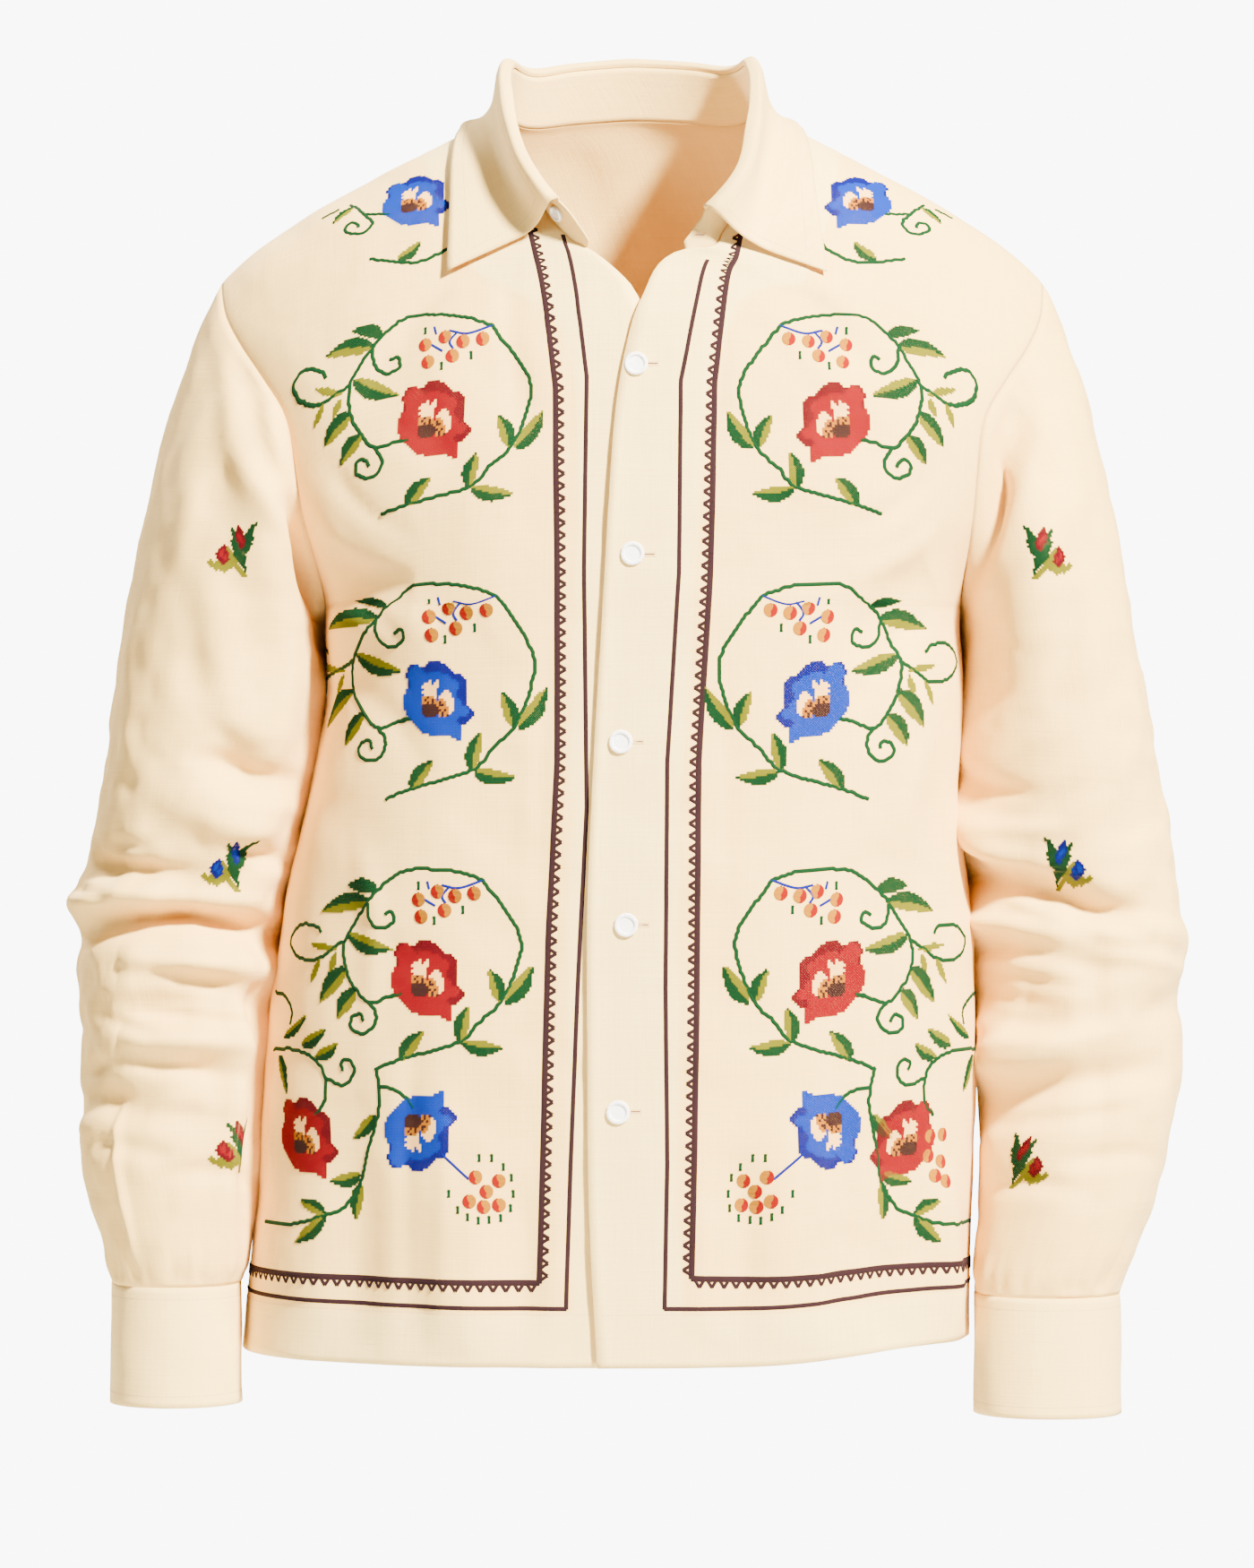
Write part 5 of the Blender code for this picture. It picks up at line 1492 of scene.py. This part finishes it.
def satin_disc(stitches, centre, radius, step=0.62):
    """A round berry in satin stitch with a red cheek."""
    for y in np.arange(-radius + step / 2, radius, step):
        half = math.sqrt(radius * radius - y * y)
        part = max(half - 1.05 * radius * (1 - 0.7 * abs(y + 0.8) / radius), -half)
        x, height = centre[0], centre[1] + y
        if part > -half + 0.2:
            stitches.leg((x - half, height), (x + part, height), step * 1.5, BERRY)
        stitches.leg((x + part, height), (x + half, height), step * 1.5, BERRY_SHADE)


def dash(stitches, spot, height):
    x, y = spot
    top, foot = y + height / 2, y - height / 2
    stitches.leg((x, foot), (x, top), 1.7, DARK_GREEN)
    stitches.leg((x + 0.9, top - 0.9), (x, top), 0.9, DARK_GREEN)
    stitches.leg((x - 0.9, foot), (x + 0.9, foot), 0.9, DARK_GREEN)


def charted(stitches, centre, chart, size, threads):
    """A motif from a chart of one letter a stitch, about its middle."""
    for row, letters in enumerate(chart):
        for column, letter in enumerate(letters):
            if letter in threads:
                x = centre[0] + (column - len(letters) / 2) * size
                y = centre[1] + (row - len(chart) / 2) * size
                stitches.cross(x, y, size, threads[letter])


def buttonhole(stitches, centre, half):
    """A slit edged with close short stitches; the slit itself is a dark strip of painted shade."""
    x, y = centre
    # painted shade: a dark strip along the slit in place of the shadow in the opening
    stitches.leg((x - half, y), (x + half, y), 0.7, PAINTED_SLIT_SHADE, 0.10)
    for place in np.arange(x - half, x + half + 0.1, 0.75):
        for way in (1, -1):
            stitches.leg((place, y + 0.3 * way), (place, y + 1.25 * way), 0.8, CREAM_THREAD, 0.3)
    for end in (x - half - 0.5, x + half + 0.5):
        stitches.leg((end, y - 1.3), (end, y + 1.3), 0.9, CREAM_THREAD, 0.4)


def topstitch(stitches, line):
    """Small even machine stitches along a flat line."""
    line = np.asarray(line, float)
    at = np.arange(1.0, ways(line)[-1] - TOPSTITCH_STEP, TOPSTITCH_STEP)
    for start, end in zip(spots_along(line, at), spots_along(line, at + 0.72 * TOPSTITCH_STEP)):
        stitches.leg(start, end, 0.5, CREAM_THREAD, 0.16)


# The wreath in pixels of the photograph's frame, measured from its poppy's middle; columns grow
# towards the opening and rows downward.
WREATH_LINES = (
    # the ring from its top round the opening side to its tail, then back over the other side
    ((63, -106), (104, -48), (102, -9), (84, 30), (59, 53), (36, 75), (-31, 94), (-60, 105)),
    ((63, -106), (34, -115), (0, -118), (-31, -115), (-58, -95), (-71, -80), (-95, -40), (-95, -8),
     (-84, 15), (-68, 31), (-44, 24), (-31, 21)),
    ((-68, 31), (-60, 43), (-62, 56), (-74, 65), (-88, 60), (-88, 48), (-78, 44), (-74, 52)),
    ((-70, -80), (-68, -61), (-55, -52), (-40, -59), (-42, -71), (-50, -67)),
    ((-95, -39), (-111, -29), (-130, -17), (-151, -21), (-158, -39), (-146, -56), (-128, -54),
     (-123, -47)),
)
WREATH_LEAVES = (
    # base, tip, width, dark side
    (-58, -95, -92, -100, 13, 0),
    (-68, -83, -122, -71, 16, 1),
    (-92, -44, -42, -28, 15, 1),
    (-95, -8, -124, 30, 17, 1),
    (-84, 16, -105, 49, 15, 1),
    (84, 30, 70, -6, 13, 1),
    (90, 32, 120, -10, 15, 1),
    (36, 75, 46, 36, 13, -1),
    (39, 77, 86, 82, 13, 1),
    (-32, 94, -6, 64, 14, -1),
)
WREATH_SPRIGS = (
    (-104, -28, -134, -34, 6),
    (-106, -24, -113, -3, 7),
    (-124, -19, -135, 8, 7),
)
WREATH_BERRIES = ((-11, -84), (11, -93), (31, -88), (53, -91), (19, -72), (-8, -65))
WREATH_STEMS = (
    ((64, -106), (36, -97), (16, -100)),
    ((25, -99), (16, -88), (20, -80)),
    ((-4, -84), (8, -77)),
    ((-1, -104), (1, -96)),
)
WREATH_DASHES = ((-11, -100), (40, -73), (7, -61))

# Each front's wreaths: poppy column and row, ring's shift down, width and height shares, colours.
WREATHS = (
    (486, 469, 0, 1.00, 1.00, REDS),
    (490, 781, -2, 1.00, 1.08, BLUES),
    (478, 1094, -6, 0.97, 1.00, REDS),
)
# Columns of the other front: a mirror line's doubled column for each row of the frame.
MIRROR_ROWS = ((220, 1424), (469, 1417), (781, 1397), (1094, 1403), (1262, 1392), (1400, 1380))

VINES = (
    ((420, 1193), (423, 1211), (423, 1239), (411, 1284), (403, 1320), (383, 1348),
     (363, 1356), (326, 1366), (296, 1362)),
    ((425, 1213), (440, 1216), (452, 1224), (460, 1236)),
    ((306, 1171), (326, 1171), (350, 1181), (363, 1203), (362, 1230), (352, 1244)),
    ((363, 1203), (383, 1211), (395, 1197), (391, 1183), (381, 1185), (383, 1195)),
    ((308, 1107), (318, 1112), (326, 1127), (324, 1143)),
)
VINE_LEAVES = (
    (419, 1245, 395, 1270, 12, -1),
    (403, 1312, 369, 1318, 12, -1),
    (403, 1320, 398, 1362, 12, 1),
    (363, 1354, 335, 1340, 11, 1),
    (363, 1358, 330, 1386, 13, -1),
    (337, 1167, 363, 1149, 12, 1),
    (352, 1181, 377, 1165, 11, 1),
    (318, 1157, 342, 1133, 9, 1),
    (312, 1177, 320, 1219, 11, -1),
)
CLUSTER_LINE = ((493, 1288), (512, 1306), (523, 1316))
CLUSTER_BERRIES = ((531, 1314), (557, 1318), (543, 1330), (524, 1341), (540, 1347), (557, 1345))
CLUSTER_DASHES = (
    (535, 1292), (549, 1292), (562, 1302), (571, 1314), (573, 1332), (570, 1348), (559, 1359),
    (546, 1361), (534, 1362), (522, 1358), (511, 1350), (501, 1332),
)
SIDE_BERRIES = ((1038, 1268), (1052, 1266), (1036, 1290), (1050, 1296), (1044, 1312), (1056, 1318))
SIDE_POPPIES = {False: (342, 1268), True: (1008, 1270)}
SHOULDER_LINES = (
    ((407, 239), (435, 239)),
    ((407, 239), (416, 249), (404, 261), (386, 258), (389, 250), (397, 249), (400, 254)),
    ((392, 229), (399, 233), (407, 239)),
    ((502, 277), (472, 291), (447, 293), (413, 289)),
    ((360, 244), (379, 234)),
    ((512, 240), (508, 262), (502, 277)),
)
SHOULDER_LEAVES = ((394, 232, 372, 250, 8, 1), (444, 291, 470, 270, 11, 1))

# Border lines in pixels of the frame, by whether the front is the mirrored one: the plain inner line
# and the line with picots, each down the front and then to where it ends at the side.
BORDERS = {
    False: (
        (((628, 260), (655, 420), (652, 640), (655, 900), (645, 1100), (637, 1300), (632, 1461)),
         (284, 1441)),
        (((590, 250), (620, 430), (622, 640), (622, 850), (612, 1050), (606, 1300), (602, 1432)),
         (284, 1415)),
    ),
    True: (
        (((790, 290), (760, 425), (758, 640), (745, 850), (743, 1100), (745, 1300), (742, 1461)),
         (1078, 1431)),
        (((828, 258), (798, 425), (793, 640), (780, 850), (778, 1100), (775, 1300), (772, 1427)),
         (1078, 1409)),
    ),
}
BORDER_WIDTHS = (2.5, 3.4)
# Shares of the rows and columns of each band along which it is sewn.
SEWN_ROWS = {"collar": (0.42, 0.93), "cuff_left": (0.08, 0.92), "cuff_right": (0.08, 0.92)}
SEWN_COLUMNS = (0.02, 0.98)
STAND_HOLE = (780, 262)    # column and row of the frame


def frame_place(column, row, mirrored):
    """A place measured on the viewer's left front, or its mirror on the other front."""
    if not mirrored:
        return column, row
    return np.interp(row, *np.transpose(MIRROR_ROWS)) - column, row


def greenery(stitches, place, lines, leaves):
    """Stems and the leaves on them; place gives the flat place of a table's spot."""
    for line in lines:
        chain(stitches, [place(*spot) for spot in line], GREEN, LINE_WIDTH, LINE_STEP)
    for x, y, tip_x, tip_y, width, side in leaves:
        leaf(stitches, place(x, y), place(tip_x, tip_y), width * LEAF_SHARE, side)


def berries(stitches, place, spots, radius, stems=(), dashes=(), height=0.0):
    """Berries with their blue stems and the dashes round them."""
    for spot in spots:
        satin_disc(stitches, place(*spot), radius)
    for line in stems:
        chain(stitches, [place(*spot) for spot in line], STEM, STEM_WIDTH, STEM_STEP, 0.0)
    for spot in dashes:
        dash(stitches, place(*spot), height)


def wreath(stitches, setting, mirrored):
    column, row, shift, wide, tall, colours = setting

    def place(x, y):
        return stitches.surface.seen_at(*frame_place(column + x * wide, row + shift + y * tall, mirrored))

    greenery(stitches, place, WREATH_LINES, WREATH_LEAVES)
    for x, y, tip_x, tip_y, width in WREATH_SPRIGS:
        sprig_leaf(stitches, place(x, y), place(tip_x, tip_y), width * 0.5)
    berries(stitches, place, WREATH_BERRIES, WREATH_BERRY, WREATH_STEMS, WREATH_DASHES, WREATH_DASH)
    centre = stitches.surface.seen_at(*frame_place(column, row, mirrored))
    chain(stitches, [place(-31, 21), place(-42, 24)], DARK_GREEN, 2.4, 2.0)
    poppy(stitches, centre, colours, (-1, 1))


def sprig_leaf(stitches, base, tip, width):
    """A small pointed leaf of one colour."""

    def colour_at(share, off, _):
        inside = 0 <= share <= 1 and abs(off) <= width / 2 * math.sin(math.pi * share) + 0.4
        return OLIVE if inside else None

    blade(stitches, base, tip, width, colour_at)


def border(stitches, mirrored):
    """Two brown lines down the front and along the hem; the outer one carries open picots."""
    surface = stitches.surface
    reach = surface.flat[:, 0].max() - 1.5
    for (spots, hem_end), width in zip(BORDERS[mirrored], BORDER_WIDTHS):
        line = [surface.seen_at(*spot) for spot in spots]
        corner, height = line[-1], surface.seen_at(*hem_end)[1]
        foot = [corner, (mix(corner[0], reach, 0.5), mix(corner[1], height, 0.5)), (reach, height)]
        for part in (line, foot):
            chain(stitches, part, BROWN, width, BORDER_STEP, 0.0, False)
    picots(stitches, line, (-1.0, 0.0))
    picots(stitches, foot, (0.0, -1.0))


def picots(stitches, line, away):
    """Open triangles along one side of a border line."""
    line, away = np.asarray(line, float), np.asarray(away)
    at = np.arange(2.0, ways(line)[-1] - 4.0, PICOT_PITCH)
    for first, last in zip(spots_along(line, at) + away, spots_along(line, at + PICOT_WIDTH) + away):
        tip = (first + last) / 2 + away * PICOT_HEIGHT
        for foot in (first, last):
            stitches.leg(foot, tip, 1.9, BROWN)


def embroider_front(cloth, mirrored):
    """All the motifs of one front."""
    stitches = Stitches(Surface(cloth))
    seen = stitches.surface.seen_at
    for setting in WREATHS:
        wreath(stitches, setting, mirrored)

    def place(column, row):
        return seen(*frame_place(column, row, mirrored))

    greenery(stitches, place, VINES, VINE_LEAVES)
    poppy(stitches, place(469, 1263), BLUES, (-1, -1))
    poppy(stitches, seen(*SIDE_POPPIES[mirrored]), REDS, (-1, 1))
    stems = (CLUSTER_LINE,)
    berries(stitches, place, CLUSTER_BERRIES, CLUSTER_BERRY, stems, CLUSTER_DASHES, CLUSTER_DASH)
    if mirrored:
        berries(stitches, seen, SIDE_BERRIES, CLUSTER_BERRY)
    greenery(stitches, place, SHOULDER_LINES, SHOULDER_LEAVES)
    poppy(stitches, place(466, 222), BLUES, (-1, 1))
    sew_front(stitches, cloth, FRONT_BUTTONS if mirrored else ())
    border(stitches, mirrored)
    return stitches


# A sleeve's sprig of two buds, one letter a stitch: green, olive, bright and deep.
SPRIG = (
    "....................g.",
    "...........R......ggg.",
    "........g..RR.....gg..",
    "........gg.RRR...ggg..",
    ".........ggRRRR..ggg..",
    ".........ggRrRR.gggg..",
    "..........gRrrRRgggg..",
    "..........ggRrrRggggg.",
    ".........gggRRrRRgggg.",
    "..........gggRRrRggg..",
    "......R...ggggRRRgggg.",
    ".....RRRy..gggRRRggg..",
    "....RRrRyy.ggggRgggg..",
    "....RrrRRyy.gggggggg..",
    "...RRrrRRryyggggggg...",
    "....RrrRrRyygggggg....",
    "....RRRrrRyyygggggg...",
    ".y...RRRrRRyyyggggg...",
    "yyy.yyRRRRyyyyygggg...",
    ".yyyyyyRRyyyyyy.ggg...",
    "..yyyyyyyyyyyyyy.gg...",
    "....yyyyyyyyy.yyy.gg..",
    ".....y.yyyy....yyy.g..",
    ".........y......yyyg..",
    ".................yyy..",
    "..................yyy.",
)
# Middles of each sleeve's sprigs in pixels of the frame, and their colours.
SPRIGS = {
    -1: ((260, 615, REDS), (254, 966, BLUES), (264, 1281, REDS)),
    1: ((1172, 617, REDS), (1192, 967, BLUES), (1146, 1298, REDS)),
}


def embroider_sleeve(cloth, side):
    stitches = Stitches(Surface(cloth))
    for column, row, (bright, deep) in SPRIGS[side]:
        middle = stitches.surface.seen_at(column, row)
        threads = {"g": DARK_GREEN, "y": OLIVE, "r": bright, "R": deep}
        charted(stitches, middle, SPRIG, SPRIG_STITCH, threads)
    return stitches


def sew_front(stitches, cloth, holes):
    """The hem's line of stitches and the buttonholes of a front."""
    flat = cloth.flat
    height = HEM_DEPTH - 1.2
    topstitch(stitches, [(flat[0, 0, 0] + 1.5, height), (flat[0, -1, 0] - 1.5, height)])
    for level, x in holes:
        z = ARMPIT_Z + level * (ridge_height(x) - ARMPIT_Z if level > 0 else ARMPIT_Z - HEM_Z)
        centre = stitches.surface.seen_at(*frame_spot(x, float(z), FRONT_NEAR))
        buttonhole(stitches, centre + np.array([4.6, 0.0]), 7.6)


def sew_edges(cloth, rows):
    """Stitches that run beside the edges of a band, at these shares of its rows."""
    stitches = Stitches(Surface(cloth))
    flat = cloth.flat
    low, high = [int(round(share * (flat.shape[0] - 1))) for share in rows]
    first, end = [int(round(share * (flat.shape[1] - 1))) for share in SEWN_COLUMNS]
    for row in (low, high):
        topstitch(stitches, flat[row, first : end + 1])
    for column in (first, end):
        topstitch(stitches, flat[low : high + 1, column])
    return stitches


def make_cloths():
    """Every piece of cloth: its node, its grid, its tone and the pieces that it rests on."""
    front_left, tone_left = make_front(1)
    front_right, tone_right = make_front(-1)
    back, tone_back = make_back()
    left, right, behind = front_points(1), front_points(-1), back_points()
    sleeve_left, sleeve_right = make_sleeve(1, left, behind), make_sleeve(-1, right, behind)
    seam = neck_seam(left, right, behind)
    stand = Cloth("cloth_collar_stand", stand_points(seam))
    stand.face_away(NECK_MIDDLE)
    seam_normals = neck_seam(front_left.normals, front_right.normals, back.normals)
    collar = Cloth("cloth_collar", collar_points(seam, seam_normals))
    collar.face_away(NECK_MIDDLE)
    collar.move_out(ripple(collar.points, 71, COLLAR_WAVES))
    return (
        ("front_left", front_left, tone_left, ["cloth_back", "cloth_front_right"]),
        ("front_right", front_right, tone_right, ["cloth_back"]),
        ("back", back, tone_back, ["cloth_front_left", "cloth_front_right"]),
        ("sleeve_left", sleeve_left, 0.0, ["cloth_front_left", "cloth_back"]),
        ("sleeve_right", sleeve_right, 0.0, ["cloth_front_right", "cloth_back"]),
        ("cuff_left", make_cuff(1), 0.7, ["cloth_sleeve_left"]),
        ("cuff_right", make_cuff(-1), 0.7, ["cloth_sleeve_right"]),
        ("collar_stand", stand, 0.5, ["cloth_back"]),
        ("collar", collar, 0.5, ["cloth_collar_stand", "cloth_front_left", "cloth_front_right"]),
    )


def make_stitches(cloths):
    """The stitches on each cloth that has any, by its node."""
    stand = Stitches(Surface(cloths["collar_stand"]))
    buttonhole(stand, stand.surface.seen_at(*STAND_HOLE), 6.0)
    sewn = {node: sew_edges(cloths[node], rows) for node, rows in SEWN_ROWS.items()}
    sewn["collar_stand"] = stand
    for side, name in SIDE_NAMES.items():
        sewn["front_" + name] = embroider_front(cloths["front_" + name], side > 0)
    for side, name in SIDE_NAMES.items():
        sewn["sleeve_" + name] = embroider_sleeve(cloths["sleeve_" + name], side)
    return sewn


def main():
    make_stage()
    cotton, thread, shell = cloth_material(), thread_material(), button_material()
    cloths, items, resting = {}, {}, {}
    for node, cloth, tone, rests in make_cloths():
        item = cloth.build(cotton, tone)
        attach(item, "root")
        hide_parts(node)
        cloths[node], items[node], resting[node] = cloth, item, rests
    trims = {}
    for node, stitches in make_stitches(cloths).items():
        kind = "embroidery_" if node.startswith(("front", "sleeve")) else "stitching_"
        trims[node] = stitches.build(kind + node, thread)
        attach(trims[node], "root")
    for node, item in items.items():
        width, length, area = cloths[node].cut()
        [trims[node]] if node in trims else []
    for name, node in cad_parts.items():
        if name.startswith("button"):
            for place in range(len(node.data.materials)):
                node.material_slots[place].material = shell


main()
